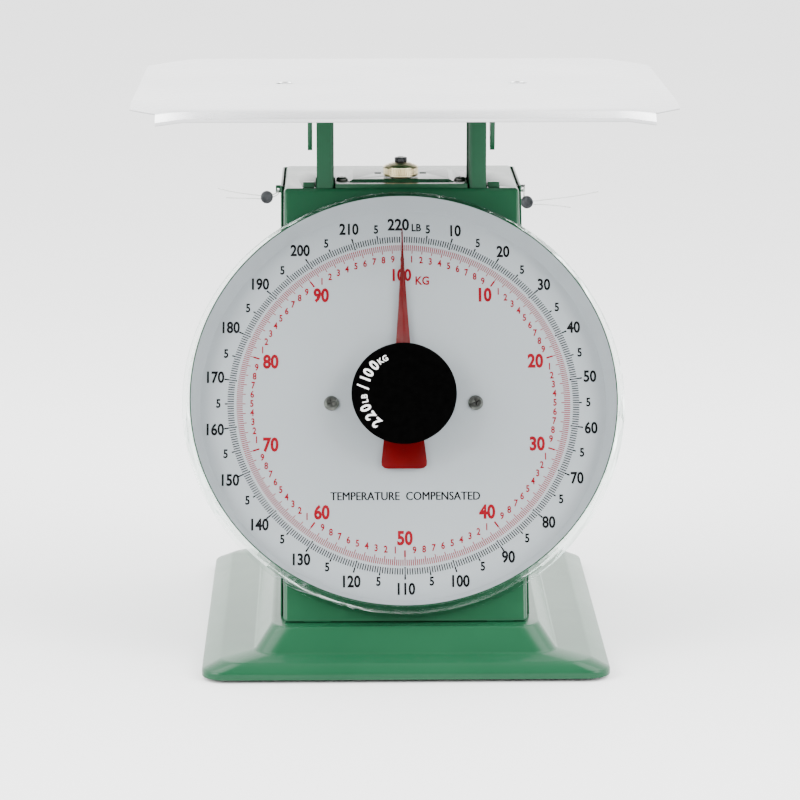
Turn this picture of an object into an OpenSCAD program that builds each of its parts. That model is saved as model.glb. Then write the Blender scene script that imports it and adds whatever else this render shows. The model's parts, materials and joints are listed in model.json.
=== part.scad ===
// Mechanical dial platform scale.
// A spring carried load frame sinks inside a pressed steel housing; a rack on
// the frame turns the pointer of a large inclined dial.
// Millimetres, +Z up, front (dial side) towards -Y.

/* [Platform] */
// Width of the platform tray
tray_w = 318; // [260:1:400]
// Depth of the platform tray over both folded lips
tray_d = 282; // [230:1:340]
// Height of the platform top above the floor
tray_z = 331; // [300:1:380]
// Sheet thickness of the tray
tray_t = 1.2; // [0.8:0.1:3]
// Horizontal run of each folded lip
lip_run = 6; // [3:0.5:12]
// Drop of each folded lip below the top
lip_drop = 6.4; // [4:0.2:12]
// Distance of each tray hole from the middle
tray_hole_x = 70.7; // [40:0.1:110]
// Radius of the tray holes
tray_hole_r = 5.9; // [3:0.1:12]

/* [Base] */
// Width of the base pan
base_w = 239; // [200:1:320]
// Height of the base pan over the floor
base_h = 27.5; // [22:0.5:40]
// Sheet thickness of the base pan
base_t = 1.5; // [1:0.1:3]
// Corner radius of the base rim
base_r = 14; // [6:1:24]

/* [Body] */
// Width of the housing
body_w = 143.8; // [130:0.1:190]
// Depth of the housing across its flat top
body_d = 100; // [90:1:130]
// Height of the housing top above the floor
body_z = 266.9; // [250:0.1:300]
// Y position of the top front edge
front_y = 6; // [0:0.5:20]
// Lean of the front face and the dial
tilt = 28; // [20:0.5:34]
// Sheet thickness of the housing
body_t = 1.2; // [1:0.1:2]
// Gap between housing side and rear cover side
cover_gap = 0.8; // [0.4:0.1:2]

/* [Dial] */
// Distance from the top front edge down the slope to the dial centre
dial_drop = 137; // [125:0.5:150]
// Radius of the lens at its front ring
lens_r = 128.9; // [100:0.1:150]
// Height of the lens front ring above the housing front
lens_h = 16.8; // [12:0.1:24]
// Rise of the lens dome from the ring to its middle
dome_h = 6.4; // [3:0.1:10]
// Radius of the label disc on the lens
label_r = 31.3; // [20:0.1:45]
// Height of the printed dial face above the housing front
face_h = 1.6; // [1.2:0.1:3]
// Distance of each dial screw from the centre
dial_screw_x = 43.2; // [30:0.1:60]

/* [Load frame] */
// Outer half distance of the two posts
post_x = 51.8; // [48:0.1:60]
// Width of each post seen from the front
post_w = 10.6; // [8:0.1:14]
// Depth of each post channel
post_d = 45; // [36:1:56]
// Sheet thickness of the posts
post_t = 2; // [1.5:0.1:3]
// Length of the hook tabs that hang beside the posts
hook_drop = 39; // [30:0.5:40]
// Travel of the platform at full load
travel = 17.75; // [12:0.05:20]

/* [Springs] */
// Distance of each spring from the middle
spring_x = 18; // [14:0.5:24]
// Mean radius of the spring coils
coil_r = 6.6; // [5:0.1:9]
// Wire diameter of the springs
wire_d = 2.2; // [1.4:0.1:3]
// Turns of each spring
turns = 21; // [12:1:28]

/* [Movement] */
// Teeth on the pinion
teeth = 16; // [14:1:20]
// Tooth module of rack and pinion
tooth_m = 0.4; // [0.4:0.05:0.6]
// Half width of the movement plates
plate_x = 27; // [24:1:34]
// Half height of the movement plates
plate_v = 34; // [30:1:40]
// Length of the two guiding links between their pivots
link_l = 76; // [64:1:90]

/* [Zero knob] */
// Radius of the zero knob
knob_r = 10.8; // [8:0.1:14]
// Height of the knob
knob_h = 6.2; // [5:0.1:10]

/* [Hidden] */
$fn = 64;
eps = 0.01;

// Sheet colours.
green = [0.10, 0.35, 0.22];
steel = [0.70, 0.71, 0.72];
zinc = [0.60, 0.61, 0.60];
brass = [0.80, 0.70, 0.42];
dark = [0.12, 0.12, 0.13];

// Places that follow from the sizes above.
shell_w = max(body_w, 2 * (post_x + 12.6));
rear_y = front_y + body_d;
slope_y = front_y - (body_z - base_h) * tan(tilt);
slope_l = (body_z - base_h) / cos(tilt);
dial_r = min(lens_r, dial_drop - 7, slope_l - dial_drop - 4.5);
base_y = (slope_y + rear_y) / 2 - 4.35;
tray_y = -base_y;
pan_w = max(base_w, shell_w + 92);
pan_d = max(tray_d, rear_y - slope_y + 54);
top_z = max(tray_z, body_z + 50);
dial_y = front_y - dial_drop * sin(tilt);
dial_z = body_z - dial_drop * cos(tilt);
cover_x = shell_w / 2 + cover_gap + body_t;
post_y0 = front_y + body_t / cos(tilt) + 1.1;
post_y1 = post_y0 + post_d;
mid_y = (post_y0 + post_y1) / 2 - 1;
plate_top = top_z - tray_t;
plate_bot = plate_top - 2;

// Bridge, yoke and springs.
bridge_t = 2.5;
bridge_z = body_z + 4;
stem_r = 4;
yoke_z = body_z - 22;
yoke_pin_z = yoke_z - 10;
pin_r = 2.5;

// Links: pivots on the load frame and on the housing.
link_front_y = post_y0 + 10;
link_s = min(link_l, rear_y - link_front_y - 10);
link_rear_y = link_front_y + link_s;
link_up = travel / 2;
up_z = body_z - 62;
shaft_r = 2.5;
arm_x = post_x - post_w - 3.2;

// Movement planes measured from the housing front, inwards negative.
fp0 = -9.5;
fp1 = -8;
bp0 = -27;
bp1 = -25.5;
pitch_r = teeth * tooth_m / 2;
tooth_p = PI * tooth_m;
rack_travel = travel / cos(tilt);
rack_w0 = -20;
rack_w1 = -14;
rack_back = pitch_r + 5.2;
rack_foot_v = -plate_v - 24;
pin_y = dial_y + rack_foot_v * sin(tilt) + 17 * cos(tilt);
pin_z = dial_z + rack_foot_v * cos(tilt) - 17 * sin(tilt);
bar_z = round(pin_z + 9.3);
bar_pin_z = bar_z + 9;
low_z = bar_z - 32 > base_h + 22 ? bar_z - 32 : bar_z + 40;
foot_x0 = rack_back - 4.2;

// Seal screws near the upper edge of both sides.
seal_y = front_y + 34;
seal_z = body_z - 5;

module on_dial() {
  translate([0, dial_y, dial_z]) rotate([90 - tilt, 0, 0]) children();
}

module mirror_x() {
  children();
  mirror([1, 0, 0]) children();
}

module along_x(x0, x1, y, z, r) {
  translate([x0, y, z]) rotate([0, 90, 0]) cylinder(h = x1 - x0, r = r);
}

module along_y(x, y0, y1, z, r) {
  translate([x, y1, z]) rotate([90, 0, 0]) cylinder(h = y1 - y0, r = r);
}

module block(x0, x1, y0, y1, z0, z1) {
  translate([x0, y0, z0]) cube([x1 - x0, y1 - y0, z1 - z0]);
}

// Side outline in the y-z plane pushed out along x, from x0 to x1.
module side_extrude(x0, x1) {
  translate([x0, 0, 0]) rotate([90, 0, 90]) linear_extrude(height = x1 - x0) children();
}

module rounded(w, d, r) {
  offset(r = r) square([w - 2 * r, d - 2 * r], center = true);
}

// Housing side outline: level top and bottom, leaning front, upright rear.
module body_outline() {
  polygon([[front_y, body_z], [slope_y, base_h], [rear_y, base_h], [rear_y, body_z]]);
}

// ---------------------------------------------------------------- base
rim_z = 2;
rim_h = 4;
step_z = 12;

module base_solid(t) {
  w1 = pan_w - 24;
  d1 = pan_d - 14;
  w2 = shell_w + 34.2;
  d2 = rear_y - slope_y + 24.7;
  w3 = shell_w + 14.2;
  d3 = rear_y - slope_y + 8.7;
  translate([0, base_y, rim_z]) linear_extrude(height = rim_h - t)
    rounded(pan_w - 2 * t, pan_d - 2 * t, base_r - t);
  hull() {
    translate([0, base_y, rim_z + rim_h - t - eps]) linear_extrude(height = eps)
      rounded(pan_w - 2 * t, pan_d - 2 * t, base_r - t, $fn = 32);
    translate([0, base_y, step_z - t - eps]) linear_extrude(height = eps)
      rounded(w1 - 2 * t, d1 - 2 * t, base_r - t, $fn = 32);
  }
  hull() {
    translate([0, base_y, step_z - t - 2 * eps]) linear_extrude(height = 2 * eps)
      rounded(w2 - 2 * t, d2 - 2 * t, base_r - t, $fn = 32);
    translate([0, base_y, base_h - t - eps]) linear_extrude(height = eps)
      rounded(w3 - 2 * t, d3 - 2 * t, base_r - t, $fn = 32);
  }
}

module base_pan() {
  color(green) difference() {
    base_solid(0);
    difference() {
      base_solid(base_t);
      base_bosses(12, base_h);
    }
    block(-pan_w, pan_w, -pan_d, pan_d, -5, rim_z + eps);
    base_bosses(2.1, base_h + 5);
    translate([0, base_y + 10, 0]) cylinder(h = base_h + 5, r = 20);
  }
}

// Raised seats for the body screws.
module base_bosses(r, h) {
  for (x = [-50, 50], y = [slope_y + 24, rear_y - 20])
    translate([x, y, base_h - 6]) cylinder(h = h, r = r);
}

module rubber_feet() {
  color(dark) for (x = [-1, 1], y = [-1, 1])
    translate([x * (pan_w / 2 - 26), base_y + y * (pan_d / 2 - 24), 0]) difference() {
      cylinder(h = step_z - base_t, r = 8);
      translate([0, 0, -1]) cylinder(h = 4, r = 3);
    }
}

// ---------------------------------------------------------------- housing
module body_shell() {
  color(green) difference() {
    side_extrude(-shell_w / 2, shell_w / 2) body_outline();
    side_extrude(-shell_w / 2 + body_t, shell_w / 2 - body_t) difference() {
      offset(delta = -body_t) body_outline();
      translate([rear_y - 2 * body_t, 0]) square([10, body_z + 10]);
    }
    // open rear between the four edge returns
    block(-shell_w / 2 + 10, shell_w / 2 - 10, rear_y - 3, rear_y + 1,
      base_h + 10, body_z - 10);
    // slots for the posts
    mirror_x() block(post_x - post_w - 0.8, post_x + 0.8, post_y0 - 0.8,
      post_y1 + 0.8, body_z - body_t - 1, body_z + 1);
    // stem hole
    translate([0, mid_y, body_z - 5]) cylinder(h = 10, r = 9);
    // arbor opening behind the dial, stud holes and dial screw holes
    on_dial() translate([0, 0, -5]) cylinder(h = 10, r = 12);
    on_dial() movement_pattern() translate([0, 0, -5]) cylinder(h = 10, r = 1.6);
    on_dial() dial_screw_pattern() translate([0, 0, -5]) cylinder(h = 10, r = 1.9);
    // floor opening and screw holes
    translate([0, base_y + 10, base_h - 5]) cylinder(h = 10, r = 20);
    for (x = [-50, 50], y = [slope_y + 24, rear_y - 20])
      translate([x, y, base_h - 5]) cylinder(h = 10, r = 2.1);
    mirror_x() translate([bridge_screw_x, bridge_screw_y, body_z - 5])
      cylinder(h = 10, r = 1.9);
    mirror_x() stop_holes();
    mirror_x() along_x(shell_w / 2 - 3, shell_w / 2 + 2, seal_y, seal_z, 1.9);
    cover_screw_places() rotate([90, 0, 0]) translate([0, 0, -5]) cylinder(h = 10, r = 1.6);
  }
}

module movement_pattern() {
  for (x = [-1, 1], v = [-1, 1])
    translate([x * (plate_x - 5), v * (plate_v - 5), 0]) children();
}

module dial_screw_pattern() {
  for (x = [-1, 1]) translate([x * dial_screw_x, 0, 0]) children();
}

bridge_x = post_x - post_w - 0.9;
bridge_y0 = front_y + 2.2;
bridge_y1 = bridge_y0 + 68;
bridge_screw_x = bridge_x - 4;
bridge_screw_y = bridge_y0 + 16;

// Bridge plate: front lip, raised middle that carries the zero stem.
module spring_bridge() {
  rise_x = 30;
  color(green) difference() {
    union() {
      block(-bridge_x, bridge_x, bridge_y0, bridge_y1, body_z, body_z + bridge_t);
      translate([0, (bridge_y0 + bridge_y1) / 2 + 3, 0]) hull() {
        translate([0, 0, body_z + bridge_t - eps]) linear_extrude(height = eps)
          square([2 * rise_x + 6, bridge_y1 - bridge_y0 - 14], center = true);
        translate([0, 0, bridge_z - eps]) linear_extrude(height = eps)
          square([2 * rise_x, bridge_y1 - bridge_y0 - 22], center = true);
      }
    }
    translate([0, mid_y, body_z - 5]) cylinder(h = 20, r = stem_r + 0.08);
    mirror_x() translate([bridge_screw_x, bridge_screw_y, body_z - 5])
      cylinder(h = 20, r = 1.9);
    mirror_x() block(12, 16, mid_y + 12, mid_y + 18, body_z - 5, body_z + 20);
  }
}

module bridge_screws() {
  color(zinc) mirror_x() translate([bridge_screw_x, bridge_screw_y, 0])
    pan_screw(body_z + bridge_t, 3.6, 2.2, 1.85, 8);
}

// Pan head screw, head resting at height z, shank pointing down.
module pan_screw(z, head_r, head_h, shank_r, shank_l) {
  translate([0, 0, z]) difference() {
    union() {
      cylinder(h = head_h * 0.5, r = head_r);
      translate([0, 0, head_h * 0.5 - eps])
        cylinder(h = head_h * 0.5 + eps, r1 = head_r, r2 = head_r * 0.72);
      translate([0, 0, -shank_l]) cylinder(h = shank_l + eps, r = shank_r);
    }
    translate([0, 0, head_h * 0.35]) {
      translate([-head_r * 0.5, -0.4, 0]) cube([head_r, 0.8, head_h]);
      translate([-0.4, -head_r * 0.5, 0]) cube([0.8, head_r, head_h]);
    }
  }
}

// Rear cover: upright back with side wings that lap the housing sides.
module rear_cover() {
  wing = 16;
  color(green) difference() {
    side_extrude(-cover_x, cover_x) polygon([
      [front_y + wing, body_z - 0.6],
      [slope_y + wing, base_h + 0.4],
      [rear_y + body_t, base_h + 0.4],
      [rear_y + body_t, body_z - 0.6]]);
    side_extrude(-cover_x + body_t, cover_x - body_t) polygon([
      [slope_y - 40, -10], [rear_y, -10], [rear_y, body_z + 20], [slope_y - 40, body_z + 20]]);
    mirror_x() along_x(cover_x - 3, cover_x + 2, seal_y, seal_z, 1.9);
    cover_screw_places() rotate([90, 0, 0]) translate([0, 0, -5]) cylinder(h = 10, r = 1.6);
    // vent slots
    for (i = [-2:2])
      block(i * 16 - 4, i * 16 + 4, rear_y - 1, rear_y + 5, base_h + 24, base_h + 27);
  }
}

module cover_screw_places() {
  for (x = [-1, 1], z = [base_h + 6, body_z - 6])
    translate([x * (shell_w / 2 - 18), rear_y, z]) children();
}

module cover_screws() {
  color(zinc) cover_screw_places() translate([0, body_t, 0]) rotate([-90, 0, 0])
    pan_screw(0, 3.2, 2, 1.55, 7);
}

module base_screws() {
  color(zinc) for (x = [-50, 50], y = [slope_y + 24, rear_y - 20])
    translate([x, y, base_h + body_t]) pan_screw(0, 4, 2.4, 2.05, 9);
}

// Stop tabs beside the posts, standing in small slots of the housing top.
module stop_holes() {
  block(post_x + 0.7, post_x + 8.8, post_y0 + 3.8, post_y0 + 8.2,
    body_z - 3, body_z + 1);
}

module overload_stops() {
  color(green) mirror_x() {
    block(post_x + 1.2, post_x + 8.4, post_y0 + 4, post_y0 + 8, body_z - 8, body_z + 3);
    block(post_x + 1.2, shell_w / 2 - body_t, post_y0 + 4, post_y0 + 8,
      body_z - 8, body_z - 5);
  }
}

// ---------------------------------------------------------------- dial
pan_r = dial_r - 7;
rim_r = dial_r + 3.4;
rim_w = face_h + 2.4;

module dial_plate() {
  color([0.78, 0.79, 0.80]) on_dial() difference() {
    rotate_extrude($fn = 128) polygon([[5, 0], [pan_r, 0], [dial_r - 1, rim_w - 1.4],
      [rim_r, rim_w - 1.4], [rim_r, rim_w], [pan_r + 1.8, rim_w],
      [dial_r - 1.2, lens_h - 2.2], [dial_r - 2.2, lens_h - 2.2],
      [pan_r - 0.4, face_h], [5, face_h]]);
    dial_screw_pattern() translate([0, 0, -5]) cylinder(h = 10, r = 1.9);
  }
}

module dial_screws() {
  color(zinc) on_dial() dial_screw_pattern() rotate([0, 0, 20])
    pan_screw(face_h, 4.5, 2.2, 1.85, 7);
}

module lens_gasket() {
  color(dark) on_dial() translate([0, 0, rim_w]) difference() {
    cylinder(h = 0.6, r = rim_r, $fn = 128);
    translate([0, 0, -1]) cylinder(h = 3, r = dial_r + 0.6, $fn = 128);
  }
}

module lens() {
  z0 = rim_w + 0.6;
  t = 1.6;
  color([0.85, 0.90, 0.92, 0.35]) on_dial() rotate_extrude($fn = 128) polygon([
    [rim_r, z0], [rim_r, z0 + 1.4], [dial_r + 2, z0 + 1.6], [dial_r, lens_h],
    [dial_r * 0.93, lens_h + dome_h * 0.24], [dial_r * 0.75, lens_h + dome_h * 0.6],
    [dial_r * 0.5, lens_h + dome_h * 0.88], [label_r + 1.2, lens_h + dome_h],
    [0, lens_h + dome_h], [0, lens_h + dome_h - t],
    [label_r + 1.2, lens_h + dome_h - t], [dial_r * 0.5, lens_h + dome_h * 0.88 - t],
    [dial_r * 0.75, lens_h + dome_h * 0.6 - t], [dial_r * 0.93, lens_h + dome_h * 0.24 - t],
    [dial_r - 1, lens_h - t], [dial_r + 1, z0]]);
}

module lens_label() {
  color(dark) on_dial() translate([0, 0, lens_h + dome_h])
    cylinder(h = 0.7, r = label_r);
}

// ---------------------------------------------------------------- movement
module movement_plate(w0, w1, bush_r) {
  difference() {
    translate([0, 0, w0]) linear_extrude(height = w1 - w0)
      rounded(2 * plate_x, 2 * plate_v, 4);
    translate([0, 0, w0 - 1]) cylinder(h = 5, r = bush_r);
    movement_pattern() translate([0, 0, w0 - 1]) cylinder(h = 5, r = 1.6);
  }
}

module movement_front_plate() {
  color(brass) on_dial() movement_plate(fp0, fp1, 4);
}

module movement_back_plate() {
  color(brass) on_dial() difference() {
    movement_plate(bp0, bp1, 4);
    translate([-19, 8, bp0 - 1]) cube([12, 16, 5]);
  }
}

module movement_pillars() {
  color(brass) on_dial() movement_pattern() translate([0, 0, bp1]) difference() {
    cylinder(h = fp0 - bp1, r = 3);
    translate([0, 0, -1]) cylinder(h = 40, r = 1.6);
  }
}

module movement_studs() {
  color(zinc) on_dial() movement_pattern() translate([0, 0, fp1]) difference() {
    cylinder(h = -body_t - fp1, r = 3.5);
    translate([0, 0, -1]) cylinder(h = 40, r = 1.6);
  }
}

module movement_screws() {
  color(zinc) on_dial() movement_pattern() translate([0, 0, bp0])
    rotate([180, 0, 0]) pan_screw(0, 2.8, 1.8, 1.55, -bp0);
}

module bush(w0, w1, flange0, flange1) {
  difference() {
    union() {
      translate([0, 0, w0]) cylinder(h = w1 - w0, r = 4);
      translate([0, 0, flange0]) cylinder(h = flange1 - flange0, r = 5.5);
    }
    translate([0, 0, w0 - 5]) cylinder(h = 20, r = 1.55);
  }
}

module arbor_bushes() {
  color([0.75, 0.62, 0.35]) on_dial() {
    bush(fp0, fp1, fp1, fp1 + 1.5);
    bush(bp0, bp1, bp0 - 1.5, bp0);
  }
}

// Two guide blocks that hold the back and both faces of the rack.
module rack_guide() {
  g = 0.2;
  color(zinc) on_dial() for (v = [-12, -28]) difference() {
    translate([pitch_r + 1.6, v - 2.5, bp1]) cube([rack_back - pitch_r + 2, 5, fp0 - bp1]);
    translate([0, v - 5, rack_w0 - g]) cube([rack_back + g, 10, rack_w1 - rack_w0 + 2 * g]);
  }
}

function tooth(i, p, h, s) = [[s * h, (i + 0.02) * p], [0, (i + 0.27) * p],
  [0, (i + 0.48) * p], [s * h, (i + 0.73) * p]];

rack_top = 10;
rack_teeth = ceil((rack_travel + 2 * rack_top) / tooth_p);

module rack() {
  z0 = -(round(rack_top / tooth_p) + 0.875) * tooth_p;
  tip = pitch_r - 0.8 * tooth_m + 0.12;
  low = rack_foot_v - 5 - z0;
  back = rack_back - tip;
  color(brass) on_dial() translate([0, 0, rack_w0]) difference() {
    translate([tip, z0, 0]) linear_extrude(height = rack_w1 - rack_w0) polygon(concat(
      [for (i = [0:rack_teeth - 1], p = tooth(i, tooth_p, 2 * tooth_m, 1)) p],
      [[back, rack_teeth * tooth_p], [back, low], [back - 4.2, low], [back - 4.2, 0]]));
    for (v = [8, 13]) translate([foot_x0 - 1, rack_foot_v + v, (rack_w1 - rack_w0) / 2])
      rotate([0, 90, 0]) cylinder(h = 10, r = 0.9);
  }
}

// Foot plate with the level slot that takes the drive pin.
module rack_foot() {
  slot_l = rack_travel * sin(tilt) + 2;
  color(zinc) difference() {
    union() {
      block(foot_x0 - 2, foot_x0 - eps, pin_y - 4.5, pin_y + slot_l + 4.5,
        pin_z - 4.5, pin_z + 4.5);
      on_dial() translate([foot_x0 - 2, rack_foot_v - 5, rack_w0])
        cube([2 - eps, 22, rack_w1 - rack_w0]);
    }
    hull() {
      along_x(foot_x0 - 5, foot_x0 + 5, pin_y - 0.6, pin_z, 1.58, $fn = 32);
      along_x(foot_x0 - 5, foot_x0 + 5, pin_y + slot_l, pin_z, 1.58, $fn = 32);
    }
    on_dial() for (v = [8, 13]) translate([foot_x0 - 5, rack_foot_v + v, (rack_w0 + rack_w1) / 2])
      rotate([0, 90, 0]) cylinder(h = 10, r = 0.9);
  }
}

module rack_rivets() {
  color(steel) on_dial() for (v = [8, 13])
    translate([foot_x0 - 3, rack_foot_v + v, (rack_w0 + rack_w1) / 2]) rotate([0, 90, 0]) {
      cylinder(h = 5, r = 0.9);
      cylinder(h = 1, r = 1.7);
    }
}

module arbor() {
  outer = pitch_r + 0.8 * tooth_m;
  root = pitch_r - 1.2 * tooth_m;
  step = 360 / teeth;
  color(steel) on_dial() {
    translate([0, 0, bp0 - 2.5]) cylinder(h = -bp0 + 2.5 + 9.2, r = 1.5);
    translate([0, 0, rack_w0 - 1]) linear_extrude(height = rack_w1 - rack_w0 + 2)
      rotate(-9.2 * 16 / teeth) polygon([for (i = [0:teeth - 1], k = [0:3])
        [(k == 0 || k == 3 ? root : outer) * cos(i * step + [2, 6.2, 12.2, 16.4][k] * 16 / teeth),
         (k == 0 || k == 3 ? root : outer) * sin(i * step + [2, 6.2, 12.2, 16.4][k] * 16 / teeth)]]);
  }
}

pointer_w = face_h + 3.6;

module pointer() {
  tip = dial_r * 0.85;
  tail = dial_r * 0.322;
  color([0.45, 0.05, 0.07]) on_dial() difference() {
    union() {
      translate([0, 0, pointer_w]) linear_extrude(height = 0.8) polygon([
        [0.3, tip], [0.6, tip * 0.88], [4.2, tip * 0.35], [4.6, tip * 0.1],
        [5.5, 0], [4.2, -tail * 0.3], [7, -tail * 0.5], [12, -tail * 0.56],
        [13.5, -tail * 0.95], [11.8, -tail], [-11.8, -tail], [-13.5, -tail * 0.95],
        [-12, -tail * 0.56], [-7, -tail * 0.5], [-4.2, -tail * 0.3], [-5.5, 0],
        [-4.6, tip * 0.1], [-4.2, tip * 0.35], [-0.6, tip * 0.88], [-0.3, tip]]);
      translate([0, 0, pointer_w - 1]) cylinder(h = 4.4, r = 4.5);
    }
    translate([0, 0, pointer_w - 5]) cylinder(h = 20, r = 1.5);
  }
}

// ---------------------------------------------------------------- zero adjustment
knob_z = bridge_z + 0.1;
knob_top = knob_z + knob_h + 2.7;

module zero_stem() {
  color(zinc) translate([0, mid_y, 0]) {
    translate([0, 0, yoke_z - 18]) cylinder(h = knob_z + 5 - yoke_z + 18, r = stem_r);
    translate([0, 0, knob_z + 5 - eps]) cylinder(h = knob_top + 3.6 - knob_z - 5, r = 2);
  }
}

module zero_knob() {
  color(brass) translate([0, mid_y, knob_z]) difference() {
    union() {
      cylinder(h = 0.8, r = 7);
      translate([0, 0, 0.7]) cylinder(h = knob_h, r = knob_r);
      translate([0, 0, knob_h + 0.7 - eps]) cylinder(h = 2 + eps, r1 = knob_r - 0.6, r2 = 5);
    }
    translate([0, 0, -1]) cylinder(h = 6, r = stem_r);
    translate([0, 0, -1]) cylinder(h = 20, r = 2);
    for (a = [0:12:348]) rotate(a) translate([knob_r + 0.25, 0, -1])
      cylinder(h = 20, r = 0.6, $fn = 6);
  }
}

module zero_lock_nut() {
  color(dark) translate([0, mid_y, knob_top]) difference() {
    cylinder(h = 3, r = 3.9, $fn = 6);
    translate([0, 0, -1]) cylinder(h = 6, r = 2);
  }
}

// ---------------------------------------------------------------- springs
module spring_yoke() {
  color(zinc) difference() {
    union() {
      block(-30, 30, mid_y - 11, mid_y + 11, yoke_z - 4, yoke_z);
      for (s = [-1, 1])
        translate([0, mid_y + s * 10, 0]) block(-30, 30, -1, 1, yoke_z - 15, yoke_z);
      translate([0, mid_y, yoke_z - 10]) cylinder(h = 10, r = 7);
    }
    translate([0, mid_y, yoke_z - 30]) cylinder(h = 50, r = stem_r + 0.08);
    mirror_x() along_y(spring_x, mid_y - 20, mid_y + 20, yoke_pin_z, pin_r);
  }
}

module yoke_pins() {
  color(steel) mirror_x() along_y(spring_x, mid_y - 12.5, mid_y + 12.5, yoke_pin_z, pin_r);
}

// One coil spring standing at x, with an end loop around each pin.
module coil(x) {
  loop = pin_r + wire_d / 2 + 0.2;
  z0 = bar_pin_z + loop + wire_d;
  z1 = yoke_pin_z - loop - wire_d;
  arc = 360 * wire_d / ((z1 - z0) / turns);
  r0 = coil_r - wire_d / 2;
  r1 = coil_r + wire_d / 2;
  translate([x, mid_y, z0]) linear_extrude(height = z1 - z0, twist = -360 * turns,
    slices = turns * 14, $fn = 4) polygon(concat(
      [for (k = [0:2]) [r1 * cos(arc * k / 2), r1 * sin(arc * k / 2)]],
      [for (k = [2:-1:0]) [r0 * cos(arc * k / 2), r0 * sin(arc * k / 2)]]));
  for (z = [bar_pin_z, yoke_pin_z]) translate([x, mid_y, z]) rotate([90, 0, 0])
    rotate_extrude($fn = 20) translate([loop, 0]) circle(d = wire_d, $fn = 10);
  for (z = [z0 - 1.5, z1 - 0.5]) translate([x, mid_y - wire_d / 2, z])
    cube([coil_r, wire_d, 2]);
}

module spring_left() {
  color(steel) coil(-spring_x);
}

module spring_right() {
  color(steel) coil(spring_x);
}

// ---------------------------------------------------------------- platform
module tray_section(g) {
  h = tray_d / 2;
  translate([tray_y, top_z]) polygon([[-h + lip_run, 0], [-h, -lip_run * 0.74],
    [-h, -lip_drop], [-h + g, -lip_drop], [-h + g, -lip_run * 0.74 - g * 0.4],
    [-h + lip_run + g * 0.3, -g], [h - lip_run - g * 0.3, -g],
    [h - g, -lip_run * 0.74 - g * 0.4], [h - g, -lip_drop], [h, -lip_drop],
    [h, -lip_run * 0.74], [h - lip_run, 0]]);
}

module platform_tray() {
  cx = 17;
  cy = 26;
  color([0.80, 0.81, 0.82]) intersection() {
    difference() {
      side_extrude(-tray_w / 2, tray_w / 2) tray_section(tray_t);
      mirror_x() translate([tray_hole_x, tray_y, top_z - 10])
        cylinder(h = 20, r = tray_hole_r);
    }
    translate([0, tray_y, top_z - 20]) linear_extrude(height = 30) polygon([
      [-tray_w / 2 + cx, -tray_d / 2 - 1], [tray_w / 2 - cx, -tray_d / 2 - 1],
      [tray_w / 2, -tray_d / 2 + cy], [tray_w / 2, tray_d / 2 - cy],
      [tray_w / 2 - cx, tray_d / 2 + 1], [-tray_w / 2 + cx, tray_d / 2 + 1],
      [-tray_w / 2, tray_d / 2 - cy], [-tray_w / 2, -tray_d / 2 + cy]]);
  }
}

module stud_pattern() {
  for (x = [-1, 1], y = [-1, 1])
    translate([x * (post_x - 20), mid_y + y * 30, 0]) children();
}

module tray_studs() {
  color(zinc) stud_pattern() {
    translate([0, 0, plate_bot - 6]) cylinder(h = 8, r = 2);
    translate([0, 0, plate_bot - 3.4]) cylinder(h = 3.4, r = 4.2, $fn = 6);
  }
}

// Plate under the tray with a pair of hanging hook tabs.
module support_plate() {
  hook_x = post_x + 2.6;
  color(green) {
    difference() {
      block(-post_x - 5.4, post_x + 5.4, mid_y - 38, mid_y + 38, plate_bot, plate_top);
      stud_pattern() translate([0, 0, plate_bot - 1]) cylinder(h = 5, r = 2);
    }
    mirror_x() translate([hook_x, 0, 0]) rotate([90, 0, 90]) linear_extrude(height = 2.8)
      polygon([[mid_y - 22, plate_bot + eps], [mid_y - 17, plate_bot - hook_drop + 4],
        [mid_y - 14.5, plate_bot - hook_drop + 0.8], [mid_y - 11.5, plate_bot - hook_drop],
        [mid_y - 8.5, plate_bot - hook_drop + 0.8], [mid_y - 6, plate_bot - hook_drop + 4],
        [mid_y + 2, plate_bot + eps]]);
  }
}

// Post: channel open to the middle, long enough to carry both link shafts.
module post_solid() {
  r = 2.4;
  z0 = min(low_z + link_up - 8, bar_z - 4);
  difference() {
    translate([0, 0, z0]) linear_extrude(height = plate_bot - z0) difference() {
      translate([post_x - post_w, post_y0]) offset(r = r) offset(delta = -r)
        square([post_w + 10, post_d]);
      translate([post_x, post_y0 - 1]) square([20, post_d + 2]);
      translate([post_x - post_w - 1, post_y0 + post_t])
        square([post_w + 1 - post_t, post_d - 2 * post_t]);
    }
    for (z = [up_z + link_up, low_z + link_up])
      along_x(post_x - 5, post_x + 5, link_front_y, z, shaft_r);
    crossbar_screw_places() along_x(-6, 6, 0, 0, 1.9);
  }
}

module crossbar_screw_places() {
  for (y = [-6, 6]) translate([post_x - post_t, mid_y + y, bar_z + 5]) children();
}

module post_right() {
  color(green) post_solid();
}

module post_left() {
  color(green) mirror([1, 0, 0]) post_solid();
}

// Crossbar: upright channel between the posts that carries the spring pins.
module crossbar() {
  hx = post_x - post_t;
  color(zinc) difference() {
    union() {
      block(-hx, hx, mid_y - 11, mid_y + 11, bar_z - 2, bar_z);
      for (s = [-1, 1])
        translate([0, mid_y + s * 10, 0]) block(-hx + 4, hx - 4, -1, 1, bar_z - 2, bar_z + 15);
      mirror_x() block(hx - 2, hx, mid_y - 11, mid_y + 11, bar_z - 2, bar_z + 12);
    }
    mirror_x() along_y(spring_x, mid_y - 20, mid_y + 20, bar_pin_z, pin_r);
    mirror_x() crossbar_screw_places() along_x(-6, 6, 0, 0, 1.9);
    for (x = [-1, 1]) translate([foot_x0 - 1 + x * 5, mid_y, bar_z - 10])
      cylinder(h = 20, r = 1.6);
  }
}

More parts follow.
